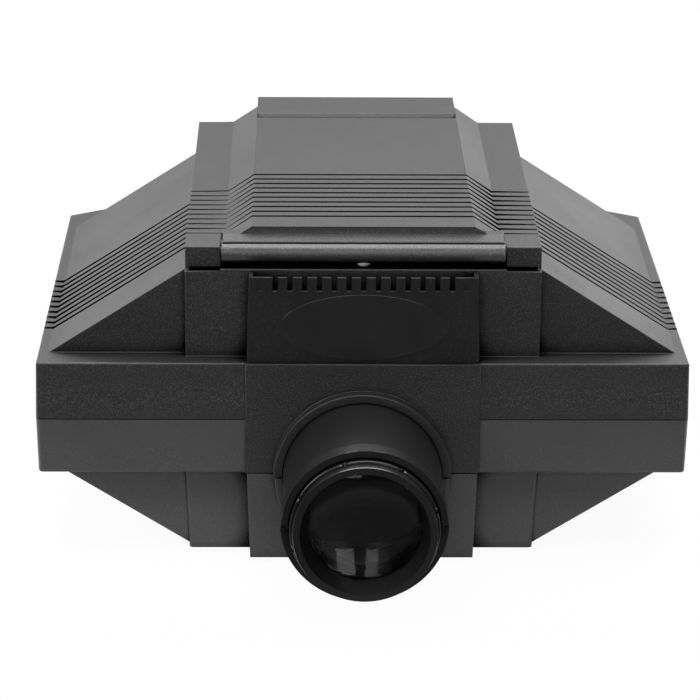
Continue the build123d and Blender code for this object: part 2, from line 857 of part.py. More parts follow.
# Lower housing
with BuildPart() as base_block:
    with BuildSketch(across(base_rear_y)):
        Polygon(*wedge_profile(base_half + base_flare, base_half, axis_z, base_z, 0, wall / 2), align=None)
    extrude(amount=base_rear_y - base_front_y)
    fillet(base_block.faces().filter_by(Axis.Y).edges().filter_by(Axis.X, reverse=True),
           radius=corner_round)

with BuildPart() as lower_housing:
    with BuildSketch(Plane.XY.offset(axis_z)):
        Polygon(*skirt_outline(skirt_lean), align=None)
        fillet(vertices(), radius=corner_round)
    extrude(amount=lower_skirt_height, taper=-skirt_draft)
    fillet(lower_housing.faces().sort_by(Axis.Z)[0].edges(), radius=edge_round)
    with BuildSketch(across(belly_rear_y)):
        Polygon(*wedge_profile(wing_half, base_half, axis_z, base_z + belly_lift, 0, wall / 2), align=None)
    extrude(amount=belly_rear_y - belly_front_y)
    add(base_block.part)
    with BuildSketch(across(base_front_y + wall)):
        Polygon(*wedge_profile(bay_half, block_half, axis_z, base_z, 0, 0), align=None)
    extrude(amount=base_front_y + wall - front_y + base_proud)
    # hollows
    with BuildSketch(Plane.XY.offset(axis_z + wall)):
        Polygon(*skirt_outline(skirt_lean + wall), align=None)
    extrude(amount=lower_skirt_height, taper=-skirt_draft, mode=Mode.SUBTRACT)
    with BuildSketch(across(belly_rear_y - wall)):
        Polygon(*wedge_profile(wing_half, base_half, axis_z, base_z + belly_lift, wall, wall + over),
                align=None)
    extrude(amount=belly_rear_y - belly_front_y - 2 * wall, mode=Mode.SUBTRACT)
    with BuildSketch(across(base_rear_y - wall)):
        Polygon(*wedge_profile(base_half + base_flare, base_half, axis_z, base_z, wall, wall + over),
                align=None)
    extrude(amount=base_rear_y - base_front_y - 2 * wall, mode=Mode.SUBTRACT)
    with BuildSketch(across(base_front_y + wall + over)):
        Polygon(*wedge_profile(bay_half, block_half, axis_z, base_z, wall, wall + over), align=None)
    extrude(amount=base_front_depth + over + base_proud, mode=Mode.SUBTRACT)
    # shadow line under the upper housing
    with BuildSketch(Plane.XY.offset(parting_z - parting_seam)):
        Polygon(*skirt_outline(-over), align=None)
        Polygon(*skirt_outline(seam_depth), align=None, mode=Mode.SUBTRACT)
    extrude(amount=parting_seam, mode=Mode.SUBTRACT)
    # slot in the skirt for the lens panel of the upper housing
    with BuildSketch(across(front_y + 2 * wall)):
        with Locations((0, axis_z)):
            Rectangle(2 * (panel_half + part_gap), lower_skirt_height + over,
                      align=(Align.CENTER, Align.MIN))
    extrude(amount=4 * wall, mode=Mode.SUBTRACT)
    # half collar, with the hole for the lens tube
    with BuildSketch(across(front_y)):
        with Locations((0, axis_z)):
            Circle(collar_radius - base_proud)
            Rectangle(2 * collar_radius + over, 2 * collar_radius, align=(Align.CENTER, Align.MIN),
                      mode=Mode.SUBTRACT)
    extrude(amount=collar_reach - base_proud)
    with BuildSketch(across(front_y + 3 * wall)):
        with Locations((0, axis_z)):
            Circle(collar_bore)
    extrude(amount=collar_reach + 4 * wall, mode=Mode.SUBTRACT)
    with BuildSketch(across(front_y + wall)):
        with Locations(*[spot for spot in tube_screw_spots() if spot[1] < axis_z]):
            Circle(tube_screw_radius)
    extrude(amount=wall + collar_reach / 2, mode=Mode.SUBTRACT)
    # bosses for the screws that join the housings, open from below
    with BuildSketch(Plane.XY.offset(axis_z + wall / 2)):
        with Locations(*housing_screw_spots):
            Circle(boss_radius)
    extrude(amount=lower_skirt_height - wall / 2)
    with BuildSketch(Plane.XY.offset(axis_z)):
        with Locations(*housing_screw_spots):
            Circle(housing_screw_radius + part_gap)
    extrude(amount=lower_skirt_height, mode=Mode.SUBTRACT)
    with BuildSketch(Plane.XY.offset(axis_z)):
        with Locations(*housing_screw_spots):
            Circle(housing_screw_head + part_gap)
    extrude(amount=housing_screw_head_height, mode=Mode.SUBTRACT)
    # screw holes for the feet and posts for the driver board
    with BuildSketch(Plane.XY.offset(base_z)):
        with Locations(*foot_spots):
            Circle(foot_screw_radius)
    extrude(amount=wall, mode=Mode.SUBTRACT)
    with BuildSketch(Plane.XY.offset(floor_z)):
        with Locations((0, board_y)):
            with board_grid():
                Circle(board_post_radius)
                Circle(board_screw_radius, mode=Mode.SUBTRACT)
    extrude(amount=board_lift)
    # posts for the lights, on the belly slopes
    with BuildSketch(slope_plane.offset(wall / 2)):
        with light_grid(light_post_x, light_post_y):
            Circle(light_post_radius)
            Circle(light_screw_radius, mode=Mode.SUBTRACT)
    light_posts = extrude(amount=sink_lift - wall / 2, mode=Mode.PRIVATE)
    add(light_posts)
    mirror(light_posts, about=Plane.YZ)
    # cut-outs for the power inlet and the switch
    with BuildSketch(across(base_rear_y)):
        with Locations((inlet_x, socket_z)):
            Rectangle(inlet_width, inlet_height)
        with Locations((switch_x, socket_z)):
            Rectangle(switch_width, switch_height)
    extrude(amount=wall, mode=Mode.SUBTRACT)
lower_housing.part.label = "lower_housing"
export_step(lower_housing.part, "parts/lower_housing.step")

# Housing screws and feet
with BuildPart() as housing_screws:
    with BuildSketch(Plane.XY.offset(axis_z)):
        with Locations(*housing_screw_spots):
            Circle(housing_screw_head)
    extrude(amount=housing_screw_head_height)
    with BuildSketch(Plane.XY.offset(axis_z)):
        with Locations(*housing_screw_spots):
            Circle(housing_screw_radius)
    extrude(amount=lower_skirt_height + housing_screw_bite)
    with BuildSketch(Plane.XY.offset(axis_z)):
        with Locations(*housing_screw_spots):
            Rectangle(screw_slot_length, screw_slot_width)
            Rectangle(screw_slot_width, screw_slot_length)
    extrude(amount=screw_slot_depth, mode=Mode.SUBTRACT)
housing_screws.part.label = "housing_screws"
export_step(housing_screws.part, "parts/housing_screws.step")

with BuildPart() as feet:
    with BuildSketch():
        with Locations(*foot_spots):
            Circle(foot_radius)
    extrude(amount=foot_height)
    fillet(feet.faces().group_by(Axis.Z)[0].edges(), radius=foot_edge_round)
    with BuildSketch():
        with Locations(*foot_spots):
            Circle(foot_screw_head + part_gap)
    extrude(amount=foot_screw_recess + foot_screw_head_height, mode=Mode.SUBTRACT)
    with BuildSketch():
        with Locations(*foot_spots):
            Circle(foot_screw_radius)
    extrude(amount=foot_height, mode=Mode.SUBTRACT)
feet.part.label = "feet"
export_step(feet.part, "parts/feet.step")

with BuildPart() as foot_screws:
    with BuildSketch(Plane.XY.offset(foot_screw_recess)):
        with Locations(*foot_spots):
            Circle(foot_screw_head)
    extrude(amount=foot_screw_head_height)
    with BuildSketch(Plane.XY.offset(foot_screw_recess)):
        with Locations(*foot_spots):
            Circle(foot_screw_radius)
    extrude(amount=foot_height - foot_screw_recess + wall)
foot_screws.part.label = "foot_screws"
export_step(foot_screws.part, "parts/foot_screws.step")

# Front vent panel and name plate
with BuildPart() as vent_panel:
    with BuildSketch(across(face_y)):
        Polygon(
            (-bay_half, ledge_z),
            (bay_half, ledge_z),
            (vent_half_top, vent_top_z),
            (-vent_half_top, vent_top_z),
            align=None,
        )
    extrude(amount=face_y - bay_front_y)
    fillet(vent_panel.faces().sort_by(Axis.Y)[0].edges().filter_by(Axis.X, reverse=True),
           radius=vent_edge_round)
    with BuildSketch(across(face_y)):
        Polygon(
            (-bay_half + vent_wall, ledge_z + vent_wall),
            (bay_half - vent_wall, ledge_z + vent_wall),
            (vent_half_top - vent_wall, vent_top_z + over),
            (-vent_half_top + vent_wall, vent_top_z + over),
            align=None,
        )
    extrude(amount=face_y - bay_front_y - vent_wall, mode=Mode.SUBTRACT)
    with BuildSketch(across(bay_front_y + vent_wall)):
        for i in range(slot_count):
            with Locations(((i - (slot_count - 1) / 2) * slot_pitch, vent_top_z - slot_height)):
                Rectangle(slot_width, slot_height + over, align=(Align.CENTER, Align.MIN))
    extrude(amount=vent_wall + over, mode=Mode.SUBTRACT)
    with BuildSketch(across(bay_front_y + blind_slot_depth)):
        for side in (-1, 1):
            with Locations((side * (slot_count + 1) / 2 * slot_pitch, vent_top_z - slot_height)):
                Rectangle(slot_width, slot_height + over, align=(Align.CENTER, Align.MIN))
    extrude(amount=vent_wall, mode=Mode.SUBTRACT)
    with BuildSketch(across(bay_front_y + label_thickness - label_proud)):
        with Locations((0, label_z)):
            Ellipse(label_half_width, label_half_height)
    extrude(amount=vent_wall, mode=Mode.SUBTRACT)
vent_panel.part.label = "vent_panel"
export_step(vent_panel.part, "parts/vent_panel.step")

with BuildPart() as name_plate:
    with BuildSketch(across(bay_front_y + label_thickness - label_proud)):
        with Locations((0, label_z)):
            Ellipse(label_half_width, label_half_height)
    extrude(amount=label_thickness)
name_plate.part.label = "name_plate"
export_step(name_plate.part, "parts/name_plate.step")

# Lid
with BuildPart() as lid_shell:
    with BuildSketch(across(lid_rear_y)):
        Polygon(
            (-body_half, lid_edge_z),
            (body_half, lid_edge_z),
            (body_half, shoulder_z),
            (crease_half, shoulder_z),
            (plateau_half, lid_top_z),
            (-plateau_half, lid_top_z),
            (-crease_half, shoulder_z),
            (-body_half, shoulder_z),
            align=None,
        )
    extrude(amount=lid_rear_y - facet_y)
    fillet(lid_shell.edges().filter_by(Axis.Y).group_by(Axis.Z)[-1], radius=plateau_round)
    # only the nose reaches forward between the hinge blocks
    with BuildSketch(Plane.XY.offset(lid_edge_z)):
        for side in (-1, 1):
            with Locations((side * (nose_half + body_half) / 2, flat_front_y)):
                Rectangle(body_half - nose_half, flat_front_y - facet_y, align=(Align.CENTER, Align.MAX))
    extrude(amount=lid_top_z - lid_edge_z, mode=Mode.SUBTRACT)
    with BuildSketch(Plane.XY.offset(lid_edge_z)):
        with Locations((0, deck_front_y)):
            Rectangle(2 * (recess_half + deck_gap), deck_front_y - facet_y,
                      align=(Align.CENTER, Align.MAX))
    extrude(amount=rim_z - lid_edge_z, mode=Mode.SUBTRACT)
    # nothing of the shell comes below the strip in front of its front wall
    with BuildSketch(Plane.YZ):
        with Locations((facet_y - over, hinge_z)):
            Rectangle(lid_front_wall_y - facet_y + over, 2 * (hinge_z - rim_z),
                      align=(Align.MIN, Align.MAX))
    extrude(amount=nose_half + over, both=True, mode=Mode.SUBTRACT)
    # strip over the hinge barrel
    with BuildSketch(Plane.YZ):
        Polygon(
            (strip_front_y, hinge_z),
            (strip_front_y, strip_front_z),
            (facet_y, strip_rear_z),
            (lid_front_wall_y + lid_wall, strip_rear_z),
            (lid_front_wall_y + lid_wall, hinge_z),
            align=None,
        )
    extrude(amount=nose_half, both=True)
    # rear lip
    with BuildSketch(Plane.YZ):
        Polygon(
            (lid_rear_y - over, lid_top_z),
            (lip_rear_y, lid_top_z),
            (lip_rear_y, lid_top_z - lip_depth),
            (lid_rear_y - over, lid_top_z - lip_depth),
            align=None,
        )
    extrude(amount=plateau_half, both=True)
    fillet(lid_shell.faces().sort_by(Axis.Y)[-1].edges(), radius=edge_round)
    with BuildSketch(Plane.YZ):
        with Locations((lid_rear_y, lid_top_z - lip_depth)):
            Rectangle(grip_reach - lid_wall, lip_depth - lid_wall, align=(Align.MIN, Align.MIN))
    extrude(amount=plateau_half - lid_wall, both=True, mode=Mode.SUBTRACT)
    # hollow under the lid, with a rib left below the finger groove
    inner_crease = crease_half - lid_wall / 2
    inner_plateau = plateau_half - lid_wall / 2
    with BuildSketch(across(lid_rear_y - lid_wall)):
        Polygon(
            (-body_half + lid_wall, lid_edge_z),
            (body_half - lid_wall, lid_edge_z),
            (body_half - lid_wall, shoulder_z - lid_wall),
            (inner_crease, shoulder_z - lid_wall),
            (inner_plateau, lid_top_z - lid_wall),
            (-inner_plateau, lid_top_z - lid_wall),
            (-inner_crease, shoulder_z - lid_wall),
            (-body_half + lid_wall, shoulder_z - lid_wall),
            align=None,
        )
    extrude(amount=lid_rear_y - flat_front_y - 2 * lid_wall, mode=Mode.SUBTRACT)
    with BuildSketch(across(flat_front_y + lid_wall + over)):
        Polygon(
            (-nose_half + lid_wall, lid_edge_z),
            (nose_half - lid_wall, lid_edge_z),
            (nose_half - lid_wall, shoulder_z - lid_wall),
            (inner_crease, shoulder_z - lid_wall),
            (inner_plateau, lid_top_z - lid_wall),
            (-inner_plateau, lid_top_z - lid_wall),
            (-inner_crease, shoulder_z - lid_wall),
            (-nose_half + lid_wall, shoulder_z - lid_wall),
            align=None,
        )
    extrude(amount=flat_front_y + over - lid_front_wall_y, mode=Mode.SUBTRACT)
    with BuildSketch(Plane.YZ):
        Polygon(
            (scoop_front_y - lid_wall, lid_top_z - lid_wall / 2),
            (scoop_front_y - lid_wall, lid_top_z - scoop_depth - lid_wall / 2),
            (scoop_rear_y + lid_wall, lid_top_z - scoop_depth - lid_wall / 2),
            (scoop_rear_y + lid_wall, lid_top_z - lid_wall / 2),
            align=None,
        )
    extrude(amount=plateau_half, both=True)
    with BuildSketch(Plane.YZ):
        Polygon(
            (scoop_front_y, lid_top_z + over),
            (scoop_front_y, lid_top_z - scoop_depth),
            (scoop_rear_y - scoop_bevel, lid_top_z - scoop_depth),
            (scoop_rear_y - scoop_bevel, lid_top_z - scoop_bevel),
            (scoop_rear_y, lid_top_z),
            (scoop_rear_y, lid_top_z + over),
            align=None,
        )
    extrude(amount=plateau_half - scoop_margin, both=True, mode=Mode.SUBTRACT)
    # seat for the barrel
    with BuildSketch(Plane.YZ):
        with Locations((hinge_y, hinge_z)):
            Circle(barrel_radius)
    extrude(amount=nose_half + over, both=True, mode=Mode.SUBTRACT)
    # louver grooves over the plateau, its slopes and the flat strips
    cut = lid_wall - groove_floor
    fall = lid_rise / (crease_half - plateau_half)
    kink_shift = cut * (hypot(1, fall) - 1) / fall
    with BuildSketch(across(front_y + lid_groove_start - lid_groove_width / 2)):
        Polygon(
            (-body_half - over, shoulder_z - cut),
            (-crease_half + kink_shift, shoulder_z - cut),
            (-plateau_half + kink_shift, lid_top_z - cut),
            (plateau_half - kink_shift, lid_top_z - cut),
            (crease_half - kink_shift, shoulder_z - cut),
            (body_half + over, shoulder_z - cut),
            (body_half + over, lid_top_z + over),
            (-body_half - over, lid_top_z + over),
            align=None,
        )
    lid_groove = extrude(amount=-lid_groove_width, mode=Mode.PRIVATE)
    with Locations(*[(0, i * lid_groove_pitch, 0) for i in range(groove_count)]):
        add(lid_groove, mode=Mode.SUBTRACT)
    with BuildSketch(Plane.XY.offset(hinge_z)):
        with Locations((0, hinge_y)):
            Circle(hinge_screw_radius)
    extrude(amount=barrel_radius, mode=Mode.SUBTRACT)
    # posts that carry the liner
    with BuildSketch(Plane.XY.offset(liner_z + liner_thickness)):
        with Locations(*liner_screw_spots):
            Circle(liner_post_radius)
    extrude(until=Until.NEXT)
    with BuildSketch(Plane.XY.offset(liner_z + liner_thickness)):
        with Locations(*liner_screw_spots):
            Circle(liner_screw_radius)
    extrude(amount=liner_screw_bite, mode=Mode.SUBTRACT)
lid_shell.part.label = "lid_shell"
export_step(lid_shell.part, "parts/lid_shell.step")

with BuildPart() as hinge_barrel:
    with BuildSketch(Plane.YZ):
        with Locations((hinge_y, hinge_z)):
            Circle(barrel_radius)
    extrude(amount=barrel_half, both=True)
    with BuildSketch(Plane.YZ.offset(barrel_half - hinge_pin_in_barrel)):
        with Locations((hinge_y, hinge_z)):
            Circle(hinge_pin_radius + running)
    extrude(amount=hinge_pin_in_barrel, mode=Mode.SUBTRACT)
    with BuildSketch(Plane.YZ.offset(-barrel_half)):
        with Locations((hinge_y, hinge_z)):
            Circle(hinge_pin_radius + running)
    extrude(amount=hinge_pin_in_barrel, mode=Mode.SUBTRACT)
    with BuildSketch(Plane.XY.offset(hinge_z - barrel_radius)):
        with Locations((0, hinge_y)):
            Circle(hinge_screw_radius)
    extrude(amount=2 * barrel_radius, mode=Mode.SUBTRACT)
    with BuildSketch(Plane.XY.offset(hinge_z - barrel_radius)):
        with Locations((0, hinge_y)):
            Circle(hinge_screw_head)
    extrude(amount=hinge_screw_seat, mode=Mode.SUBTRACT)
hinge_barrel.part.label = "hinge_barrel"
export_step(hinge_barrel.part, "parts/hinge_barrel.step")

with BuildPart() as hinge_screw:
    seat_z = hinge_z - barrel_radius + hinge_screw_seat
    with BuildSketch(Plane.XY.offset(seat_z)):
        with Locations((0, hinge_y)):
            Circle(hinge_screw_head)
    extrude(amount=-hinge_screw_head_height)
    fillet(hinge_screw.faces().sort_by(Axis.Z)[0].edges(), radius=hinge_screw_dome)
    with BuildSketch(Plane.XY.offset(seat_z)):
        with Locations((0, hinge_y)):
            Circle(hinge_screw_radius)
    extrude(amount=2 * barrel_radius - hinge_screw_seat)
hinge_screw.part.label = "hinge_screw"
export_step(hinge_screw.part, "parts/hinge_screw.step")

with BuildPart() as hinge_pins:
    with BuildSketch(Plane.YZ.offset(barrel_half - hinge_pin_in_barrel + pin_end_gap)):
        with Locations((hinge_y, hinge_z)):
            Circle(hinge_pin_radius)
    extrude(amount=barrel_end_gap + hinge_pin_in_barrel + hinge_pin_in_block - pin_end_gap)
    mirror(hinge_pins.part, about=Plane.YZ)
hinge_pins.part.label = "hinge_pins"
export_step(hinge_pins.part, "parts/hinge_pins.step")

with BuildPart() as lid_liner:
    with BuildSketch(Plane.XY.offset(liner_z)):
        with Locations((0, (lid_front_wall_y + lid_rear_y) / 2)):
            Rectangle(2 * liner_half, lid_rear_y - lid_front_wall_y - 2 * lid_wall - 2 * liner_gap)
        with Locations(*liner_screw_spots):
            Circle(liner_screw_radius, mode=Mode.SUBTRACT)
    extrude(amount=liner_thickness)
lid_liner.part.label = "lid_liner"
export_step(lid_liner.part, "parts/lid_liner.step")

with BuildPart() as pressure_pad:
    with BuildSketch(Plane.XY.offset(pad_z)):
        with Locations((0, window_y)):
            Rectangle(pad_size, pad_size)
            fillet(vertices(), radius=pad_corner)
    extrude(amount=pad_thickness)
pressure_pad.part.label = "pressure_pad"
export_step(pressure_pad.part, "parts/pressure_pad.step")

with BuildPart() as liner_screws:
    with BuildSketch(Plane.XY.offset(liner_z)):
        with Locations(*liner_screw_spots):
            Circle(liner_screw_head)
    extrude(amount=-liner_screw_head_height)
    with BuildSketch(Plane.XY.offset(liner_z)):
        with Locations(*liner_screw_spots):
            Circle(liner_screw_radius)
    extrude(amount=liner_thickness + liner_screw_bite - screw_short)
liner_screws.part.label = "liner_screws"
export_step(liner_screws.part, "parts/liner_screws.step")

# Copy glass and its clips
with BuildPart() as copy_glass:
    with BuildSketch(Plane.XY.offset(deck_z)):
        with Locations((0, window_y)):
            Rectangle(glass_size, glass_size)
    extrude(amount=-glass_thickness)
copy_glass.part.label = "copy_glass"
export_step(copy_glass.part, "parts/copy_glass.step")

with BuildPart() as glass_clips:
    with BuildSketch(Plane.XY.offset(deck_z)):
        with Locations(*clip_spots):
            Rectangle(clip_size, clip_size)
        with Locations(*clip_screw_spots):
            Circle(clip_screw_radius, mode=Mode.SUBTRACT)
    extrude(amount=clip_thickness)
    with BuildSketch(Plane.XY.offset(deck_z + clip_thickness)):
        with Locations(*clip_screw_spots):
            Circle(clip_screw_head)
    extrude(amount=-(clip_screw_head - clip_screw_radius), taper=countersink, mode=Mode.SUBTRACT)
glass_clips.part.label = "glass_clips"
export_step(glass_clips.part, "parts/glass_clips.step")

with BuildPart() as clip_screws:
    with BuildSketch(Plane.XY.offset(deck_z + clip_thickness)):
        with Locations(*clip_screw_spots):
            Circle(clip_screw_radius)
    extrude(amount=-clip_thickness - clip_screw_bite + screw_short)
    with BuildSketch(Plane.XY.offset(deck_z + clip_thickness)):
        with Locations(*clip_screw_spots):
            Circle(clip_screw_head)
    extrude(amount=-(clip_screw_head - clip_screw_radius), taper=countersink)
clip_screws.part.label = "clip_screws"
export_step(clip_screws.part, "parts/clip_screws.step")

# Mirror, its bracket and the baffle
with BuildPart() as image_mirror:
    with BuildSketch(mirror_plane):
        with Locations((0, mirror_middle)):
            Rectangle(mirror_width, mirror_foot + mirror_head)
    extrude(amount=-mirror_thickness)
image_mirror.part.label = "image_mirror"
export_step(image_mirror.part, "parts/image_mirror.step")

with BuildPart() as mirror_bracket:
    with BuildSketch(mirror_plane.offset(-mirror_thickness)):
        with Locations((0, mirror_middle)):
            Rectangle(mirror_width + 4 * bracket_margin, mirror_foot + mirror_head + 2 * bracket_margin)
    extrude(amount=-bracket_thickness)
    sheet_drop = (mirror_thickness + bracket_thickness / 2) * sqrt(2)
    foot_y = window_y + floor_z - axis_z + sheet_drop
    for side in (-1, 1):
        with BuildSketch(Plane.YZ.offset(side * mirror_width / 2)):
            Polygon(
                (foot_y, floor_z),
                (window_y + gusset_reach, floor_z),
                (window_y + gusset_reach, axis_z + gusset_reach - sheet_drop),
                align=None,
            )
        extrude(amount=side * bracket_thickness)
mirror_bracket.part.label = "mirror_bracket"
export_step(mirror_bracket.part, "parts/mirror_bracket.step")

with BuildPart() as mirror_clips:
    for side in (-1, 1):
        front_x = side * (mirror_width + mirror_clip_thickness - mirror_clip_grip) / 2
        side_x = side * (mirror_width + mirror_clip_thickness) / 2
        for along in (-mirror_foot + mirror_clip_width, mirror_head - mirror_clip_width):
            with BuildSketch(mirror_plane):
                with Locations((front_x, along)):
                    Rectangle(mirror_clip_grip + mirror_clip_thickness, mirror_clip_width)
            extrude(amount=mirror_clip_thickness)
            with BuildSketch(mirror_plane):
                with Locations((side_x, along)):
                    Rectangle(mirror_clip_thickness, mirror_clip_width)
            extrude(amount=-mirror_thickness)
mirror_clips.part.label = "mirror_clips"
export_step(mirror_clips.part, "parts/mirror_clips.step")

with BuildPart() as light_baffle:
    with BuildSketch(across(baffle_y)):
        with Locations((0, floor_z)):
            Rectangle(2 * baffle_half, baffle_top - floor_z, align=(Align.CENTER, Align.MIN))
        with Locations((0, axis_z)):
            Rectangle(2 * baffle_window_half, 2 * baffle_window_half, mode=Mode.SUBTRACT)
    extrude(amount=baffle_thickness)
    with BuildSketch(Plane.XY.offset(floor_z)):
        with Locations((0, baffle_y)):
            Rectangle(2 * baffle_half, baffle_foot, align=(Align.CENTER, Align.MIN))
    extrude(amount=baffle_thickness)
light_baffle.part.label = "light_baffle"
export_step(light_baffle.part, "parts/light_baffle.step")

# Lens tube, two halves: the upper one reaches further forward, as a brow
with BuildPart() as lens_tube:
    with BuildSketch(Plane.YZ):
        Polygon(
            *ring_profile([
                (brow_y, mouth_radius),
                (brow_y, brow_radius),
                (ring_y, ring_radius),
                (ring_y, tube_radius),
                (front_y + wall, tube_radius),
                (front_y + wall, flange_radius),
                (tube_rear_y, flange_radius),
                (tube_rear_y, tube_bore),
                (brow_y + mouth_depth, tube_bore),
                (brow_y + mouth_depth, mouth_radius),
            ]),
            align=None,
        )
    revolve(axis=lens_axis)
    with BuildSketch(across(tube_rear_y)):
        with Locations((0, axis_z)):
            Rectangle(key_width + 2 * key_side_gap, 2 * keyway_reach)
    extrude(amount=tube_rear_y - keyway_front_y, mode=Mode.SUBTRACT)
    with BuildSketch(across(tube_rear_y)):
        with Locations(*tube_screw_spots()):
            Circle(tube_screw_radius)
    extrude(amount=flange_thickness, mode=Mode.SUBTRACT)
    with BuildSketch(spoke(guide_angle, guide_y)):
        Circle(guide_radius)
    extrude(amount=tube_radius + over, mode=Mode.SUBTRACT)

with BuildPart() as lens_tube_upper:
    add(lens_tube.part)
    split(bisect_by=Plane.XY.offset(axis_z), keep=Keep.TOP)
    with BuildSketch(across(brow_y + seam_pit_depth)):
        for side in (-1, 1):
            with Locations((side * seam_pit_radius, axis_z)):
                Rectangle(seam_pit, seam_pit, align=(Align.CENTER, Align.MIN))
    extrude(amount=seam_pit_depth, mode=Mode.SUBTRACT)
lens_tube_upper.part.label = "lens_tube_upper"
export_step(lens_tube_upper.part, "parts/lens_tube_upper.step")

with BuildPart() as lens_tube_lower:
    add(lens_tube.part)
    split(bisect_by=Plane.XY.offset(axis_z), keep=Keep.BOTTOM)
    with BuildSketch(across(under_y)):
        with Locations((0, axis_z)):
            Circle(ring_radius + over)
    extrude(amount=brow_reach - under_reach + over, mode=Mode.SUBTRACT)
lens_tube_lower.part.label = "lens_tube_lower"
export_step(lens_tube_lower.part, "parts/lens_tube_lower.step")

with BuildPart() as tube_screws:
    with BuildSketch(across(tube_rear_y)):
        with Locations(*tube_screw_spots()):
            Circle(tube_screw_radius)
    extrude(amount=flange_thickness + wall + collar_reach / 2 - screw_short)
    with BuildSketch(across(tube_rear_y)):
        with Locations(*tube_screw_spots()):
            Circle(tube_screw_head)
    extrude(amount=-tube_screw_head_height)
tube_screws.part.label = "tube_screws"
export_step(tube_screws.part, "parts/tube_screws.step")

with BuildPart() as guide_screw:
    with BuildSketch(spoke(guide_angle, guide_y).offset(groove_radius + tube_tip_gap)):
        Circle(guide_radius)
    extrude(amount=tube_radius - groove_radius - tube_tip_gap)
    with BuildSketch(spoke(guide_angle, guide_y).offset(tube_radius)):
        Circle(guide_head)
    extrude(amount=guide_head_height)
guide_screw.part.label = "guide_screw"
export_step(guide_screw.part, "parts/guide_screw.step")

# Focus barrel
with BuildPart() as focus_barrel:
    with BuildSketch(Plane.YZ):
        Polygon(
            *ring_profile([
                (lens_front_y, rim_bore),
                (lens_front_y, rim_radius),
                (lens_front_y + rim_flat, nose_radius),
                (lens_front_y + nose_length, nose_radius),
                (lens_front_y + nose_length, shoulder_radius),
                (lens_front_y + nose_length + shoulder_length, barrel_body),
                (barrel_rear_y, barrel_body),
                (barrel_rear_y, retainer_radius),
                (barrel_rear_y - retainer_length, retainer_radius),
                (barrel_rear_y - retainer_length, barrel_cell_bore),
                (lens_front_y + hood_length + hood_lip, barrel_cell_bore),
                (lens_front_y + hood_length + hood_lip, hood_bore),
                (lens_front_y + hood_length, hood_bore),
            ]),
            align=None,
        )
    revolve(axis=lens_axis)
    # notched front edge of the thicker part
    for i in range(notch_count):
        angle = notch_angle + i * 360 / notch_count
        with BuildSketch(spoke(angle, lens_front_y + nose_length).offset(nose_radius)):
            with Locations((notch_depth / 2, 0)):
                Rectangle(notch_depth, notch_width)
        extrude(amount=barrel_body - nose_radius + over, mode=Mode.SUBTRACT)
    # helical groove for the guide screw
    with BuildSketch(Plane(origin=groove_path @ 0, z_dir=groove_path % 0, x_dir=groove_plane.x_dir)):
        Rectangle(2 * (barrel_body - groove_radius), 2 * (guide_radius + guide_gap))
    sweep(path=groove_path, is_frenet=True, mode=Mode.SUBTRACT)
focus_barrel.part.label = "focus_barrel"
export_step(focus_barrel.part, "parts/focus_barrel.step")

# Lens cell and glass elements
with BuildPart() as lens_cell:
    with BuildSketch(Plane.YZ):
        Polygon(
            *ring_profile([
                (cell_front_y, cell_lip),
                (cell_front_y, cell_radius),
                (cell_rear_y, cell_radius),
                (cell_rear_y, cell_tail_radius),
                (key_front_y + key_length, cell_tail_radius),
                (key_front_y + key_length, cell_tail_bore),
                (cell_rear_y, cell_tail_bore),
                (cell_rear_y, cell_bore),
                (cell_front_y + cell_lip_length, cell_bore),
                (cell_front_y + cell_lip_length, cell_lip),
            ]),
            align=None,
        )
    revolve(axis=lens_axis)
    with BuildSketch(across(key_front_y + key_length)):
        for side in (-1, 1):
            with Locations((0, axis_z + side * (cell_tail_radius + key_reach) / 2)):
                Rectangle(key_width, key_reach - cell_tail_radius + 2 * key_overlap)
    extrude(amount=key_length)
lens_cell.part.label = "lens_cell"
export_step(lens_cell.part, "parts/lens_cell.step")

with BuildPart() as front_element:
    with BuildSketch(Plane.YZ):
        with BuildLine():
            Polyline(*ring_profile([
                (front_element_y, curve_radius),
                (front_element_y, element_radius),
                (front_element_y + front_edge, element_radius),
                (front_element_y + front_edge, curve_radius),
            ]))
            crown(front_element_y, -front_bulge)
            crown(front_element_y + front_edge, front_bulge)
            Line((front_element_y - front_bulge, axis_z),
                 (front_element_y + front_edge + front_bulge, axis_z))
        make_face()
    revolve(axis=lens_axis)
front_element.part.label = "front_element"
export_step(front_element.part, "parts/front_element.step")

with BuildPart() as middle_element:
    with BuildSketch(Plane.YZ):
        with BuildLine():
            Polyline(*ring_profile([
                (middle_element_y, curve_radius),
                (middle_element_y, element_radius),
                (middle_element_y + middle_edge, element_radius),
                (middle_element_y + middle_edge, curve_radius),
            ]))
            crown(middle_element_y, middle_hollow)
            crown(middle_element_y + middle_edge, -middle_hollow)
            Line((middle_element_y + middle_hollow, axis_z),
                 (middle_element_y + middle_edge - middle_hollow, axis_z))
        make_face()
    revolve(axis=lens_axis)
middle_element.part.label = "middle_element"
export_step(middle_element.part, "parts/middle_element.step")

with BuildPart() as rear_element:
    with BuildSketch(Plane.YZ):
        with BuildLine():
            Polyline(*ring_profile([
                (rear_element_y, curve_radius),
                (rear_element_y, element_radius),
                (rear_element_y + rear_edge, element_radius),
                (rear_element_y + rear_edge, curve_radius),
            ]))
            crown(rear_element_y, -rear_bulge)
            crown(rear_element_y + rear_edge, rear_bulge)
            Line((rear_element_y - rear_bulge, axis_z),
                 (rear_element_y + rear_edge + rear_bulge, axis_z))
        make_face()
    revolve(axis=lens_axis)
rear_element.part.label = "rear_element"
export_step(rear_element.part, "parts/rear_element.step")

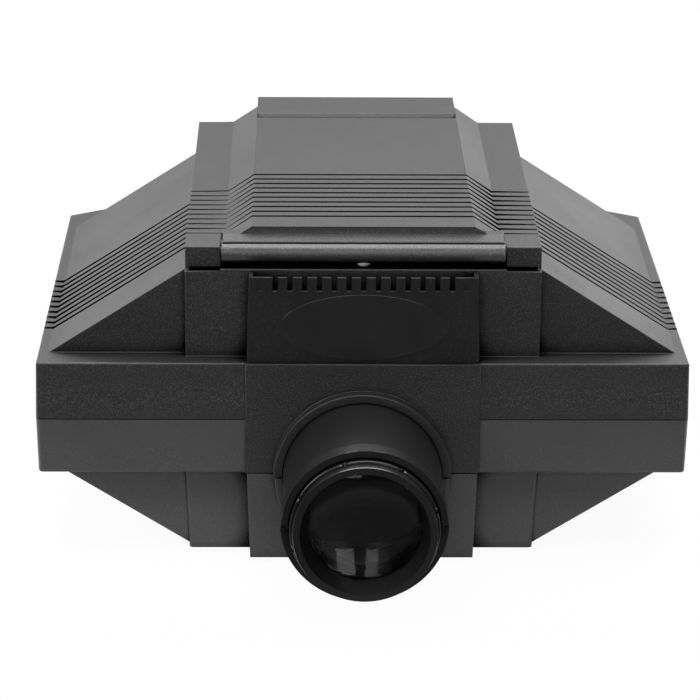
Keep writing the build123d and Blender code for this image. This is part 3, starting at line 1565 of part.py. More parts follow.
with BuildPart() as front_spacer:
    with BuildSketch(Plane.YZ):
        Polygon(
            *ring_profile([
                (front_element_y + front_edge, seat_bore),
                (front_element_y + front_edge, element_radius),
                (middle_element_y, element_radius),
                (middle_element_y, spacer_bore),
                (front_element_y + front_edge + spacer_taper, spacer_bore),
            ]),
            align=None,
        )
    revolve(axis=lens_axis)
front_spacer.part.label = "front_spacer"
export_step(front_spacer.part, "parts/front_spacer.step")

with BuildPart() as rear_spacer:
    with BuildSketch(Plane.YZ):
        Polygon(
            *ring_profile([
                (middle_element_y + middle_edge, spacer_bore),
                (middle_element_y + middle_edge, element_radius),
                (rear_element_y, element_radius),
                (rear_element_y, seat_bore),
                (rear_element_y - spacer_taper, spacer_bore),
            ]),
            align=None,
        )
    revolve(axis=lens_axis)
rear_spacer.part.label = "rear_spacer"
export_step(rear_spacer.part, "parts/rear_spacer.step")

with BuildPart() as lock_ring:
    with BuildSketch(Plane.YZ):
        Polygon(
            *ring_profile([
                (rear_element_y + rear_edge, seat_bore),
                (rear_element_y + rear_edge, element_radius),
                (cell_rear_y, element_radius),
                (cell_rear_y, seat_bore),
            ]),
            align=None,
        )
    revolve(axis=lens_axis)
lock_ring.part.label = "lock_ring"
export_step(lock_ring.part, "parts/lock_ring.step")

with BuildPart() as barrel_retainer:
    with BuildSketch(Plane.YZ):
        Polygon(
            *ring_profile([
                (barrel_rear_y - retainer_length, retainer_bore),
                (barrel_rear_y - retainer_length, retainer_radius),
                (barrel_rear_y, retainer_radius),
                (barrel_rear_y, retainer_bore),
            ]),
            align=None,
        )
    revolve(axis=lens_axis)
barrel_retainer.part.label = "barrel_retainer"
export_step(barrel_retainer.part, "parts/barrel_retainer.step")

# Lights in the wings
with BuildPart() as heat_sink_right:
    with BuildSketch(slope_plane.offset(sink_lift)):
        Rectangle(sink_length, sink_width)
        with light_grid(light_post_x, light_post_y):
            Circle(light_screw_radius, mode=Mode.SUBTRACT)
    extrude(amount=sink_base)
    with BuildSketch(slope_plane.offset(sink_lift)):
        with GridLocations(0, fin_pitch, 1, fin_count):
            Rectangle(fin_length, fin_thickness)
    extrude(amount=-fin_height)
heat_sink_right.part.label = "heat_sink_right"
export_step(heat_sink_right.part, "parts/heat_sink_right.step")

with BuildPart() as light_board_right:
    with BuildSketch(slope_plane.offset(sink_lift + sink_base)):
        Rectangle(light_board_length, light_board_width)
        with light_grid(light_post_x, light_post_y):
            Circle(light_screw_radius, mode=Mode.SUBTRACT)
    extrude(amount=board_thickness)
light_board_right.part.label = "light_board_right"
export_step(light_board_right.part, "parts/light_board_right.step")

with BuildPart() as led_chips:
    with BuildSketch(slope_plane.offset(board_face)):
        with GridLocations(led_pitch, led_pitch, led_columns, led_rows):
            Rectangle(led_size, led_size)
    extrude(amount=led_height)
    mirror(led_chips.part, about=Plane.YZ)
led_chips.part.label = "led_chips"
export_step(led_chips.part, "parts/led_chips.step")

with BuildPart() as diffuser_right:
    with BuildSketch(slope_plane.offset(board_face)):
        with light_grid(diffuser_post_x, diffuser_post_y):
            Circle(diffuser_post_radius)
    extrude(amount=diffuser_lift)
    with BuildSketch(slope_plane.offset(board_face + diffuser_lift)):
        Rectangle(diffuser_length, light_board_width)
    extrude(amount=diffuser_thickness)
diffuser_right.part.label = "diffuser_right"
export_step(diffuser_right.part, "parts/diffuser_right.step")

with BuildPart() as light_screws:
    with BuildSketch(slope_plane.offset(board_face)):
        with light_grid(light_post_x, light_post_y):
            Circle(light_screw_head)
    extrude(amount=light_screw_head_height)
    with BuildSketch(slope_plane.offset(board_face)):
        with light_grid(light_post_x, light_post_y):
            Circle(light_screw_radius)
    extrude(amount=-board_thickness - sink_base - light_screw_bite)
    mirror(light_screws.part, about=Plane.YZ)
light_screws.part.label = "light_screws"
export_step(light_screws.part, "parts/light_screws.step")

with BuildPart() as heat_sink_left:
    mirror(heat_sink_right.part, about=Plane.YZ)
heat_sink_left.part.label = "heat_sink_left"
export_step(heat_sink_left.part, "parts/heat_sink_left.step")

with BuildPart() as light_board_left:
    mirror(light_board_right.part, about=Plane.YZ)
light_board_left.part.label = "light_board_left"
export_step(light_board_left.part, "parts/light_board_left.step")

with BuildPart() as diffuser_left:
    mirror(diffuser_right.part, about=Plane.YZ)
diffuser_left.part.label = "diffuser_left"
export_step(diffuser_left.part, "parts/diffuser_left.step")

# Cooling fans and grilles
with BuildPart() as fan_frame_right:
    with BuildSketch(across(fan_rear_y)):
        with Locations((fan_x, fan_z)):
            Rectangle(fan_size, fan_size)
        fillet(vertices(), radius=fan_corner)
        with Locations((fan_x, fan_z)):
            Circle(fan_bore, mode=Mode.SUBTRACT)
        with Locations(*fan_screw_spots(1)):
            Circle(fan_screw_radius, mode=Mode.SUBTRACT)
    extrude(amount=fan_depth)
    with BuildSketch(across(fan_rear_y)):
        with Locations((fan_x, fan_z)):
            Circle(hub_radius)
            with PolarLocations(0, strut_count, start_angle=90):
                Rectangle((fan_bore + fan_size / 2) / 2, strut_width, align=(Align.MIN, Align.CENTER))
    extrude(amount=hub_plate)
    with BuildSketch(across(fan_rear_y)):
        with Locations((fan_x, fan_z)):
            Circle(shaft_radius)
    extrude(amount=hub_plate + rotor_length - rotor_face)
fan_frame_right.part.label = "fan_frame_right"
export_step(fan_frame_right.part, "parts/fan_frame_right.step")

with BuildPart() as fan_rotor_right:
    with BuildSketch(across(rotor_rear_y)):
        with Locations((fan_x, fan_z)):
            Circle(hub_radius)
    extrude(amount=rotor_length)
    for i in range(blade_count):
        angle = radians(360 * i / blade_count)
        blade_plane = Plane(
            origin=(fan_x + (hub_radius - blade_root) * cos(angle), rotor_rear_y - rotor_length / 2,
                    fan_z + (hub_radius - blade_root) * sin(angle)),
            x_dir=(0, 1, 0),
            z_dir=(cos(angle), 0, sin(angle)),
        )
        with BuildSketch(blade_plane):
            Rectangle(blade_chord * cos(radians(blade_tilt)) - blade_thickness, blade_thickness,
                      rotation=blade_tilt)
        extrude(amount=rotor_radius - hub_radius + blade_root)
    with BuildSketch(across(rotor_rear_y)):
        with Locations((fan_x, fan_z)):
            Circle(shaft_radius + running)
    extrude(amount=rotor_length - rotor_face, mode=Mode.SUBTRACT)
fan_rotor_right.part.label = "fan_rotor_right"
export_step(fan_rotor_right.part, "parts/fan_rotor_right.step")

with BuildPart() as rear_grille_right:
    with BuildSketch(across(centre_rear_y + grille_thickness)):
        with Locations((fan_x, fan_z)):
            Rectangle(grille_size, grille_size)
        fillet(vertices(), radius=fan_corner)
        for i in range(grille_slots):
            offset = (i - (grille_slots - 1) / 2) * grille_slot_pitch
            with Locations((fan_x, fan_z + offset)):
                SlotOverall(2 * sqrt(fan_opening ** 2 - offset ** 2) - 2 * grille_rim, grille_slot_width,
                            mode=Mode.SUBTRACT)
        with Locations(*fan_screw_spots(1)):
            Circle(fan_screw_radius, mode=Mode.SUBTRACT)
    extrude(amount=grille_thickness)
rear_grille_right.part.label = "rear_grille_right"
export_step(rear_grille_right.part, "parts/rear_grille_right.step")

with BuildPart() as fan_screws:
    with BuildSketch(across(centre_rear_y + grille_thickness)):
        with Locations(*fan_screw_spots(1), *fan_screw_spots(-1)):
            Circle(fan_screw_head)
    extrude(amount=-fan_screw_head_height)
    with BuildSketch(across(centre_rear_y + grille_thickness)):
        with Locations(*fan_screw_spots(1), *fan_screw_spots(-1)):
            Circle(fan_screw_radius)
    extrude(amount=grille_thickness + wall + fan_depth - screw_short)
fan_screws.part.label = "fan_screws"
export_step(fan_screws.part, "parts/fan_screws.step")

with BuildPart() as fan_frame_left:
    mirror(fan_frame_right.part, about=Plane.YZ)
fan_frame_left.part.label = "fan_frame_left"
export_step(fan_frame_left.part, "parts/fan_frame_left.step")

with BuildPart() as fan_rotor_left:
    mirror(fan_rotor_right.part, about=Plane.YZ)
fan_rotor_left.part.label = "fan_rotor_left"
export_step(fan_rotor_left.part, "parts/fan_rotor_left.step")

with BuildPart() as rear_grille_left:
    mirror(rear_grille_right.part, about=Plane.YZ)
rear_grille_left.part.label = "rear_grille_left"
export_step(rear_grille_left.part, "parts/rear_grille_left.step")

# Driver board
with BuildPart() as driver_board:
    with BuildSketch(Plane.XY.offset(board_z)):
        with Locations((0, board_y)):
            Rectangle(board_width, board_depth)
            with board_grid():
                Circle(board_screw_radius, mode=Mode.SUBTRACT)
    extrude(amount=board_thickness)
driver_board.part.label = "driver_board"
export_step(driver_board.part, "parts/driver_board.step")

with BuildPart() as board_screws:
    with BuildSketch(Plane.XY.offset(board_top_z)):
        with Locations((0, board_y)):
            with board_grid():
                Circle(2 * board_screw_radius)
    extrude(amount=board_screw_head_height)
    with BuildSketch(Plane.XY.offset(board_top_z)):
        with Locations((0, board_y)):
            with board_grid():
                Circle(board_screw_radius)
    extrude(amount=-board_thickness - board_lift + screw_short)
board_screws.part.label = "board_screws"
export_step(board_screws.part, "parts/board_screws.step")

with BuildPart() as transformer:
    with BuildSketch(Plane.XY.offset(board_top_z)):
        with Locations((transformer_x, board_y)):
            Rectangle(transformer_width, transformer_depth)
    extrude(amount=transformer_height)
    with BuildSketch(Plane.XY.offset(board_top_z + coil_lift)):
        with Locations((transformer_x, board_y)):
            Rectangle(coil_width, coil_depth)
    extrude(amount=coil_height)
transformer.part.label = "transformer"
export_step(transformer.part, "parts/transformer.step")

with BuildPart() as capacitors:
    with BuildSketch(Plane.XY.offset(board_top_z)):
        with Locations((capacitor_x, board_y)):
            with GridLocations(capacitor_pitch, capacitor_pitch, 2, 2):
                Circle(capacitor_radius)
    extrude(amount=capacitor_height)
capacitors.part.label = "capacitors"
export_step(capacitors.part, "parts/capacitors.step")

# Power inlet and switch
with BuildPart() as power_inlet:
    with BuildSketch(across(base_rear_y)):
        with Locations((inlet_x, socket_z)):
            Rectangle(inlet_width, inlet_height)
    extrude(amount=inlet_body_depth)
    with BuildSketch(across(base_rear_y)):
        with Locations((inlet_x, socket_z)):
            Rectangle(inlet_width + 2 * flange_lap, inlet_height + 2 * flange_lap)
    extrude(amount=-inlet_flange)
    with BuildSketch(across(base_rear_y + inlet_flange)):
        with Locations((inlet_x, socket_z)):
            Rectangle(inlet_width - 2 * inlet_wall, inlet_height - 2 * inlet_wall)
        chamfer(vertices().group_by(Axis.Z)[-1], length=inlet_chamfer)
    extrude(amount=inlet_cavity, mode=Mode.SUBTRACT)
power_inlet.part.label = "power_inlet"
export_step(power_inlet.part, "parts/power_inlet.step")

with BuildPart() as inlet_pins:
    with BuildSketch(across(base_rear_y + inlet_flange - inlet_cavity + pin_length)):
        with Locations(
            (inlet_x - pin_spread, socket_z - pin_offset),
            (inlet_x + pin_spread, socket_z - pin_offset),
            (inlet_x, socket_z + pin_offset),
        ):
            Rectangle(pin_width, pin_height)
    extrude(amount=pin_length)
inlet_pins.part.label = "inlet_pins"
export_step(inlet_pins.part, "parts/inlet_pins.step")

with BuildPart() as switch_body:
    with BuildSketch(across(base_rear_y)):
        with Locations((switch_x, socket_z)):
            Rectangle(switch_width, switch_height)
    extrude(amount=switch_body_depth)
    with BuildSketch(across(base_rear_y)):
        with Locations((switch_x, socket_z)):
            Rectangle(switch_width + 2 * switch_lap, switch_height + 2 * switch_lap)
    extrude(amount=-switch_flange)
    with BuildSketch(across(base_rear_y + switch_flange)):
        with Locations((switch_x, socket_z)):
            Rectangle(2 * (rocker_half + rocker_end_gap), rocker_width + 2 * rocker_side_gap)
    extrude(amount=switch_flange + switch_cavity, mode=Mode.SUBTRACT)
    with BuildSketch(Plane.XY.offset(socket_z)):
        with Locations((switch_x, pivot_y)):
            Circle(trunnion_radius + running)
    extrude(amount=rocker_width / 2 + trunnion_length + part_gap, both=True, mode=Mode.SUBTRACT)
switch_body.part.label = "switch_body"
export_step(switch_body.part, "parts/switch_body.step")

with BuildPart() as switch_rocker:
    with BuildSketch(rocker_plane):
        Polygon(
            (-rocker_half, rocker_crown),
            (-rocker_heel, -rocker_heel_depth),
            (0, -rocker_depth),
            (rocker_heel, -rocker_heel_depth),
            (rocker_half, rocker_crown),
            (0, rocker_dip),
            align=None,
        )
    extrude(amount=rocker_width / 2, both=True)
    with BuildSketch(rocker_plane):
        Circle(trunnion_radius)
    extrude(amount=rocker_width / 2 + trunnion_length, both=True)
switch_rocker.part.label = "switch_rocker"
export_step(switch_rocker.part, "parts/switch_rocker.step")

# Wires inside the housing
with BuildPart() as light_wires:
    with BuildLine() as light_route:
        FilletPolyline(*light_wire_route, radius=wire_bend)
    with BuildSketch(Plane(origin=light_route.line @ 0, z_dir=light_route.line % 0)):
        Circle(wire_radius)
    sweep(path=light_route.line)
    mirror(light_wires.part, about=Plane.YZ)
light_wires.part.label = "light_wires"
export_step(light_wires.part, "parts/light_wires.step")

with BuildPart() as power_wires:
    for points in (inlet_wire_route, switch_wire_route, fan_wire_route, fan_wire_route_left):
        with BuildLine() as power_route:
            FilletPolyline(*points, radius=wire_bend)
        with BuildSketch(Plane(origin=power_route.line @ 0, z_dir=power_route.line % 0)):
            Circle(wire_radius)
        sweep(path=power_route.line)
power_wires.part.label = "power_wires"
export_step(power_wires.part, "parts/power_wires.step")
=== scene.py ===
import json
import math

import bmesh
import bpy
import numpy as np
from mathutils import Matrix, Vector


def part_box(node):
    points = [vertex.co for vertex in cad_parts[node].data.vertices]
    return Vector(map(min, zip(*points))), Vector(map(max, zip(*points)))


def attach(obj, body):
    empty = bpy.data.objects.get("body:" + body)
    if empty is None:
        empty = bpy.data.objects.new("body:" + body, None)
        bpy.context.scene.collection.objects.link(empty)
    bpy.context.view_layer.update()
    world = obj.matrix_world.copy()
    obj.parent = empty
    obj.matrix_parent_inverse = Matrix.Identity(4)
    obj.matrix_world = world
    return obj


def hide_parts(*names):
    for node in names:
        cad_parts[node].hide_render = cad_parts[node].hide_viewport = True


# An opaque projector in black moulded plastic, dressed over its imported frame.
# Metres, Z up, lens towards -Y.
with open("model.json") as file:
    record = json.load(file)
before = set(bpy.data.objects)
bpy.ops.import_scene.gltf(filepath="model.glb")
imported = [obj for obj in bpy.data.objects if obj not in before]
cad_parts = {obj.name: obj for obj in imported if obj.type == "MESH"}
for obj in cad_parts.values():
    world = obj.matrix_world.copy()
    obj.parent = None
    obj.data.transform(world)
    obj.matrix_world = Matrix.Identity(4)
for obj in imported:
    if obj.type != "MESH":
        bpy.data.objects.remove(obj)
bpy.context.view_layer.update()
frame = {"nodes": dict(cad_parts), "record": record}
nodes = frame["nodes"]
bodyOf = {}
for bodyName, members in frame["record"]["behaviour"]["bodies"].items():
    for member in members:
        bodyOf[member] = bodyName
print("frame loaded:", len(nodes), "nodes")


# Camera, from the photograph's own perspective
viewSettings = {
    "place": (-0.04564, -2.15613, 0.89956),
    "right": (0.99985629, -0.0151642, 0.0075795),
    "up": (-0.00192923, 0.34240903, 0.93954901),
    "ahead": (0.0168428, 0.9394286, -0.34233057),
    "lens": 156.67,
    "sensor": 36.0,
    "near": 0.05,
    "far": 50.0,
}


def makeCamera():
    data = bpy.data.cameras.new("camera")
    data.lens = viewSettings["lens"]
    data.sensor_width = viewSettings["sensor"]
    data.clip_start = viewSettings["near"]
    data.clip_end = viewSettings["far"]
    camera = bpy.data.objects.new("camera", data)
    bpy.context.scene.collection.objects.link(camera)
    right, up, ahead = (Vector(viewSettings[k]) for k in ("right", "up", "ahead"))
    turn = Matrix((right, up, -ahead)).transposed().to_4x4()
    camera.matrix_world = Matrix.Translation(viewSettings["place"]) @ turn
    bpy.context.scene.camera = camera


makeCamera()
print("camera set")


# Shader helpers
def newMaterial(name):
    material = bpy.data.materials.new(name)
    material.use_nodes = True
    tree = material.node_tree
    return material, tree, tree.nodes["Principled BSDF"]


def objectPlace(tree):
    return tree.nodes.new("ShaderNodeTexCoord").outputs["Object"]


def noiseNode(tree, place, scale, detail, rough):
    node = tree.nodes.new("ShaderNodeTexNoise")
    node.inputs["Scale"].default_value = scale
    node.inputs["Detail"].default_value = detail
    node.inputs["Roughness"].default_value = rough
    tree.links.new(place, node.inputs["Vector"])
    return node.outputs["Fac"]


def rampNode(tree, value, low, high, fromValue, toValue):
    node = tree.nodes.new("ShaderNodeMapRange")
    node.interpolation_type = "SMOOTHSTEP"
    node.inputs["From Min"].default_value = low
    node.inputs["From Max"].default_value = high
    node.inputs["To Min"].default_value = fromValue
    node.inputs["To Max"].default_value = toValue
    tree.links.new(value, node.inputs["Value"])
    return node.outputs["Result"]


def mathNode(tree, kind, a, b):
    node = tree.nodes.new("ShaderNodeMath")
    node.operation = kind
    for socket, value in zip(node.inputs, (a, b)):
        if isinstance(value, (int, float)):
            socket.default_value = value
        else:
            tree.links.new(value, socket)
    return node.outputs[0]


def mixColours(tree, share, first, second):
    node = tree.nodes.new("ShaderNodeMix")
    node.data_type = "RGBA"
    tree.links.new(share, node.inputs["Factor"])
    for socket, colour in (("A", first), ("B", second)):
        spot = [s for s in node.inputs if s.name == socket and s.type == "RGBA"][0]
        if isinstance(colour, tuple):
            spot.default_value = (*colour, 1.0)
        else:
            tree.links.new(colour, spot)
    return [s for s in node.outputs if s.type == "RGBA"][0]


def bumpNode(tree, height, depth):
    node = tree.nodes.new("ShaderNodeBump")
    node.inputs["Distance"].default_value = depth
    tree.links.new(height, node.inputs["Height"])
    return node.outputs["Normal"]


def axisParts(tree, place):
    split = tree.nodes.new("ShaderNodeSeparateXYZ")
    tree.links.new(place, split.inputs[0])
    return split.outputs


# Painted shade in grooves, slots and other hollows: how far off a wall still counts, and the open share of a
# spot's surroundings at which its colour and gloss are painted dead black and at which nothing is painted
paintedShadeSettings = {
    "reach": 0.022, "samples": 8, "dark": 0.4, "clear": 0.7, "colour": (0.001, 0.001, 0.001),
}

# What the moulded plastics share
mouldSettings = {
    "grainDetail": 2.0, "grainRough": 0.6,
    "fleckDetail": 1.0, "fleckRough": 0.4, "fleckFade": 0.08, "fleckHeight": 0.5,
    "cloudScale": 14.0, "cloudDetail": 3.0, "cloudRough": 0.55, "cloudFrom": 0.35, "cloudTo": 0.7,
    "glossFrom": 0.3, "glossTo": 0.75, "glossier": 0.03, "duller": 0.04,
}


# Black moulded plastic: a fine grain, pale flecks painted into the colour as glints where single grains catch
# the light, and faint flow marks. Grooves, slots and other hollows, where little light gets in, get painted
# shade: dead black colour and no gloss.
def mouldedPlastic(name, settings):
    material, tree, shader = newMaterial(name)
    mould = mouldSettings
    place = objectPlace(tree)
    # Painted shade: colour and gloss go black where ambient occlusion finds the surroundings closed in
    paintedShade = tree.nodes.new("ShaderNodeAmbientOcclusion")
    paintedShade.samples = paintedShadeSettings["samples"]
    paintedShade.inputs["Distance"].default_value = paintedShadeSettings["reach"]
    clear = rampNode(tree, paintedShade.outputs["AO"], paintedShadeSettings["dark"], paintedShadeSettings["clear"], 0.0, 1.0)
    grain = noiseNode(tree, place, settings["grain"], mould["grainDetail"], mould["grainRough"])
    # Painted glints: pale flecks in the colour where single grains catch the light
    flecks = noiseNode(tree, place, settings["fleckScale"], mould["fleckDetail"], mould["fleckRough"])
    fleckFrom = settings["fleckFrom"]
    paintedGlint = rampNode(tree, flecks, fleckFrom, fleckFrom + mould["fleckFade"], 0.0, 1.0)
    clouds = noiseNode(tree, place, mould["cloudScale"], mould["cloudDetail"], mould["cloudRough"])
    cloud = rampNode(tree, clouds, mould["cloudFrom"], mould["cloudTo"], 0.0, 1.0)
    colour = mixColours(tree, cloud, settings["colour"], settings["worn"])
    colour = mixColours(tree, paintedGlint, colour, settings["paintedGlint"])
    colour = mixColours(tree, clear, paintedShadeSettings["colour"], colour)
    tree.links.new(colour, shader.inputs["Base Color"])
    rough = rampNode(tree, clouds, mould["glossFrom"], mould["glossTo"],
                     settings["rough"] - mould["glossier"], settings["rough"] + mould["duller"])
    tree.links.new(rough, shader.inputs["Roughness"])
    height = mathNode(tree, "ADD", grain, mathNode(tree, "MULTIPLY", paintedGlint, mould["fleckHeight"]))
    tree.links.new(bumpNode(tree, height, settings["depth"]), shader.inputs["Normal"])
    shader.inputs["Specular IOR Level"].default_value = settings["shine"]
    # Painted shade on the gloss: the specular tint turns black in hollows
    tint = mixColours(tree, clear, paintedShadeSettings["colour"], (1.0, 1.0, 1.0))
    tree.links.new(tint, shader.inputs["Specular Tint"])
    return material


# Each finish's pale fleck colour is the colour of its painted glints
plasticFinishes = {
    "housing": {
        "colour": (0.0085, 0.0087, 0.009), "worn": (0.011, 0.0112, 0.0115),
        "paintedGlint": (0.042, 0.042, 0.042), "fleckScale": 1300.0, "fleckFrom": 0.58,
        "grain": 1500.0, "rough": 0.43, "depth": 0.00024, "shine": 0.5,
    },
    "lower": {
        "colour": (0.04, 0.04, 0.041), "worn": (0.046, 0.046, 0.047),
        "paintedGlint": (0.07, 0.07, 0.07), "fleckScale": 1200.0, "fleckFrom": 0.62,
        "grain": 1700.0, "rough": 0.5, "depth": 0.00006, "shine": 0.5,
    },
    "ventFace": {
        "colour": (0.0075, 0.0075, 0.0078), "worn": (0.01, 0.01, 0.0103),
        "paintedGlint": (0.03, 0.03, 0.03), "fleckScale": 1150.0, "fleckFrom": 0.64,
        "grain": 1600.0, "rough": 0.42, "depth": 0.00012, "shine": 0.28,
    },
    "tube": {
        "colour": (0.007, 0.007, 0.0073), "worn": (0.010, 0.010, 0.0103),
        "paintedGlint": (0.02, 0.02, 0.02), "fleckScale": 1000.0, "fleckFrom": 0.66,
        "grain": 1700.0, "rough": 0.32, "depth": 0.00004, "shine": 0.3,
    },
    "barrel": {
        "colour": (0.004, 0.004, 0.0042), "worn": (0.006, 0.006, 0.0062),
        "paintedGlint": (0.012, 0.012, 0.012), "fleckScale": 1000.0, "fleckFrom": 0.7,
        "grain": 1700.0, "rough": 0.26, "depth": 0.00001, "shine": 0.6,
    },
    # The hinge bar is painted lighter than the housing plastic, a painted highlight for the light it reflects
    # from above; it is also glossier
    "bar": {
        "colour": (0.026, 0.026, 0.0265), "worn": (0.036, 0.036, 0.0365),
        "paintedGlint": (0.09, 0.09, 0.09), "fleckScale": 1000.0, "fleckFrom": 0.6,
        "grain": 1200.0, "rough": 0.33, "depth": 0.00012, "shine": 1.0,
    },
}
materials = {name: mouldedPlastic(name, settings) for name, settings in plasticFinishes.items()}

# What the plain finishes share where they don't say otherwise
driftSettings = {
    "scale": 60.0, "driftDetail": 3.0, "driftRough": 0.6, "from": 0.35, "to": 0.68,
    "glossFrom": 0.3, "glossTo": 0.7, "glossier": 0.04, "duller": 0.05,
    "grain": 1400.0, "grainDetail": 2.0, "grainRough": 0.5, "depth": 0.00002, "metal": 0.0,
}


# A finish whose colour drifts between two tones, with a fine bump and uneven gloss
def plainFinish(name, settings):
    material, tree, shader = newMaterial(name)
    own = {**driftSettings, **settings}
    place = objectPlace(tree)
    drift = noiseNode(tree, place, own["scale"], own["driftDetail"], own["driftRough"])
    share = rampNode(tree, drift, own["from"], own["to"], 0.0, 1.0)
    colour = mixColours(tree, share, own["colour"], own["other"])
    tree.links.new(colour, shader.inputs["Base Color"])
    rough = rampNode(tree, drift, own["glossFrom"], own["glossTo"],
                     own["rough"] - own["glossier"], own["rough"] + own["duller"])
    tree.links.new(rough, shader.inputs["Roughness"])
    grain = noiseNode(tree, place, own["grain"], own["grainDetail"], own["grainRough"])
    tree.links.new(bumpNode(tree, grain, own["depth"]), shader.inputs["Normal"])
    shader.inputs["Metallic"].default_value = own["metal"]
    return material


plainFinishes = {
    "plate": {"colour": (0.010, 0.010, 0.0105), "other": (0.012, 0.012, 0.0125), "rough": 0.22,
              "scale": 30.0, "depth": 0.000004},
    "steel": {"colour": (0.62, 0.62, 0.64), "other": (0.5, 0.5, 0.52), "rough": 0.3,
              "scale": 240.0, "metal": 1.0},
    "screwHead": {"colour": (0.8, 0.8, 0.8), "other": (0.68, 0.68, 0.69), "rough": 0.35,
                  "scale": 240.0, "metal": 0.3},
    "springSteel": {"colour": (0.5, 0.5, 0.52), "other": (0.42, 0.42, 0.44), "rough": 0.38,
                    "scale": 160.0, "metal": 1.0},
    "blackScrew": {"colour": (0.05, 0.05, 0.052), "other": (0.035, 0.035, 0.037), "rough": 0.4,
                   "scale": 300.0, "metal": 0.8},
    "rubber": {"colour": (0.022, 0.022, 0.022), "other": (0.03, 0.03, 0.03), "rough": 0.75,
               "scale": 120.0, "depth": 0.00006},
    "blackSheet": {"colour": (0.012, 0.012, 0.012), "other": (0.018, 0.018, 0.018), "rough": 0.6,
                   "scale": 80.0, "depth": 0.00004},
    "aluminium": {"colour": (0.62, 0.62, 0.63), "other": (0.55, 0.55, 0.56), "rough": 0.42,
                  "scale": 90.0, "metal": 1.0},
    "lightBoard": {"colour": (0.78, 0.79, 0.77), "other": (0.72, 0.73, 0.71), "rough": 0.4},
    "ledYellow": {"colour": (0.85, 0.65, 0.12), "other": (0.8, 0.58, 0.1), "rough": 0.4,
                  "scale": 200.0},
    "diffuser": {"colour": (0.8, 0.81, 0.81), "other": (0.76, 0.77, 0.77), "rough": 0.55},
    "fan": {"colour": (0.014, 0.014, 0.015), "other": (0.018, 0.018, 0.019), "rough": 0.42},
    "grille": {"colour": (0.016, 0.016, 0.017), "other": (0.021, 0.021, 0.022), "rough": 0.5,
               "depth": 0.00005},
    "board": {"colour": (0.02, 0.12, 0.05), "other": (0.03, 0.16, 0.07), "rough": 0.35,
              "scale": 90.0},
    "transformer": {"colour": (0.16, 0.11, 0.05), "other": (0.1, 0.08, 0.05), "rough": 0.5,
                    "scale": 200.0, "metal": 0.2},
    "capacitor": {"colour": (0.02, 0.03, 0.08), "other": (0.03, 0.04, 0.1), "rough": 0.3,
                  "scale": 90.0},
    "fitting": {"colour": (0.014, 0.014, 0.015), "other": (0.018, 0.018, 0.019), "rough": 0.35,
                "scale": 80.0},
    "contact": {"colour": (0.75, 0.68, 0.5), "other": (0.66, 0.6, 0.42), "rough": 0.3,
                "scale": 300.0, "metal": 1.0},
    "rocker": {"colour": (0.016, 0.016, 0.017), "other": (0.02, 0.02, 0.021), "rough": 0.2,
               "depth": 0.000005},
    "wire": {"colour": (0.25, 0.02, 0.015), "other": (0.2, 0.02, 0.015), "rough": 0.45},
}
for name, settings in plainFinishes.items():
    materials[name] = plainFinish(name, settings)


# Polished and coated glass with faint smears in its gloss; the coating dims its reflections
glassFinishes = {
    "lensGlass": {"colour": (0.82, 0.83, 0.83), "smears": 55.0, "shine": 0.5},
    "innerGlass": {"colour": (0.7, 0.71, 0.71), "smears": 55.0, "shine": 0.08},
    "windowGlass": {"colour": (0.9, 0.96, 0.93), "smears": 40.0, "shine": 1.0},
}
smearSettings = {
    "detail": 4.0, "rough": 0.6, "from": 0.45, "to": 0.8, "haze": 0.03, "depth": 0.000002,
    "refraction": 1.52,
}


def glassFinish(name, settings):
    material, tree, shader = newMaterial(name)
    place = objectPlace(tree)
    smear = noiseNode(tree, place, settings["smears"], smearSettings["detail"], smearSettings["rough"])
    haze = rampNode(tree, smear, smearSettings["from"], smearSettings["to"], 0.0, smearSettings["haze"])
    tree.links.new(haze, shader.inputs["Roughness"])
    tree.links.new(bumpNode(tree, smear, smearSettings["depth"]), shader.inputs["Normal"])
    shader.inputs["Base Color"].default_value = (*settings["colour"], 1.0)
    shader.inputs["Transmission Weight"].default_value = 1.0
    shader.inputs["Specular Tint"].default_value = (settings["shine"],) * 3 + (1.0,)
    shader.inputs["IOR"].default_value = smearSettings["refraction"]
    return material


for name, settings in glassFinishes.items():
    materials[name] = glassFinish(name, settings)

mirrorSettings = {
    "scale": 25.0, "detail": 3.0, "rough": 0.5, "from": 0.5, "to": 0.9, "clear": 0.01, "haze": 0.08,
    "colour": (0.86, 0.88, 0.89), "other": (0.82, 0.84, 0.85),
}


# Silvered glass, a little hazy
def mirrorFinish():
    material, tree, shader = newMaterial("mirror")
    silver = mirrorSettings
    haze = noiseNode(tree, objectPlace(tree), silver["scale"], silver["detail"], silver["rough"])
    rough = rampNode(tree, haze, silver["from"], silver["to"], silver["clear"], silver["haze"])
    tree.links.new(rough, shader.inputs["Roughness"])
    colour = mixColours(tree, haze, silver["colour"], silver["other"])
    tree.links.new(colour, shader.inputs["Base Color"])
    shader.inputs["Metallic"].default_value = 1.0
    return material


materials["mirror"] = mirrorFinish()

clothSettings = {
    "threads": 1100.0, "colour": (0.02, 0.02, 0.021), "light": (0.045, 0.045, 0.047),
    "depth": 0.0002, "weaveHeight": 0.5, "lightFrom": 0.1, "lightTo": 1.0,
    "fuzz": 900.0, "fuzzDetail": 3.0, "fuzzRough": 0.6, "fuzzFrom": 0.3, "fuzzTo": 0.7,
    "smooth": 0.85, "rough": 0.97, "sheen": 0.25,
}


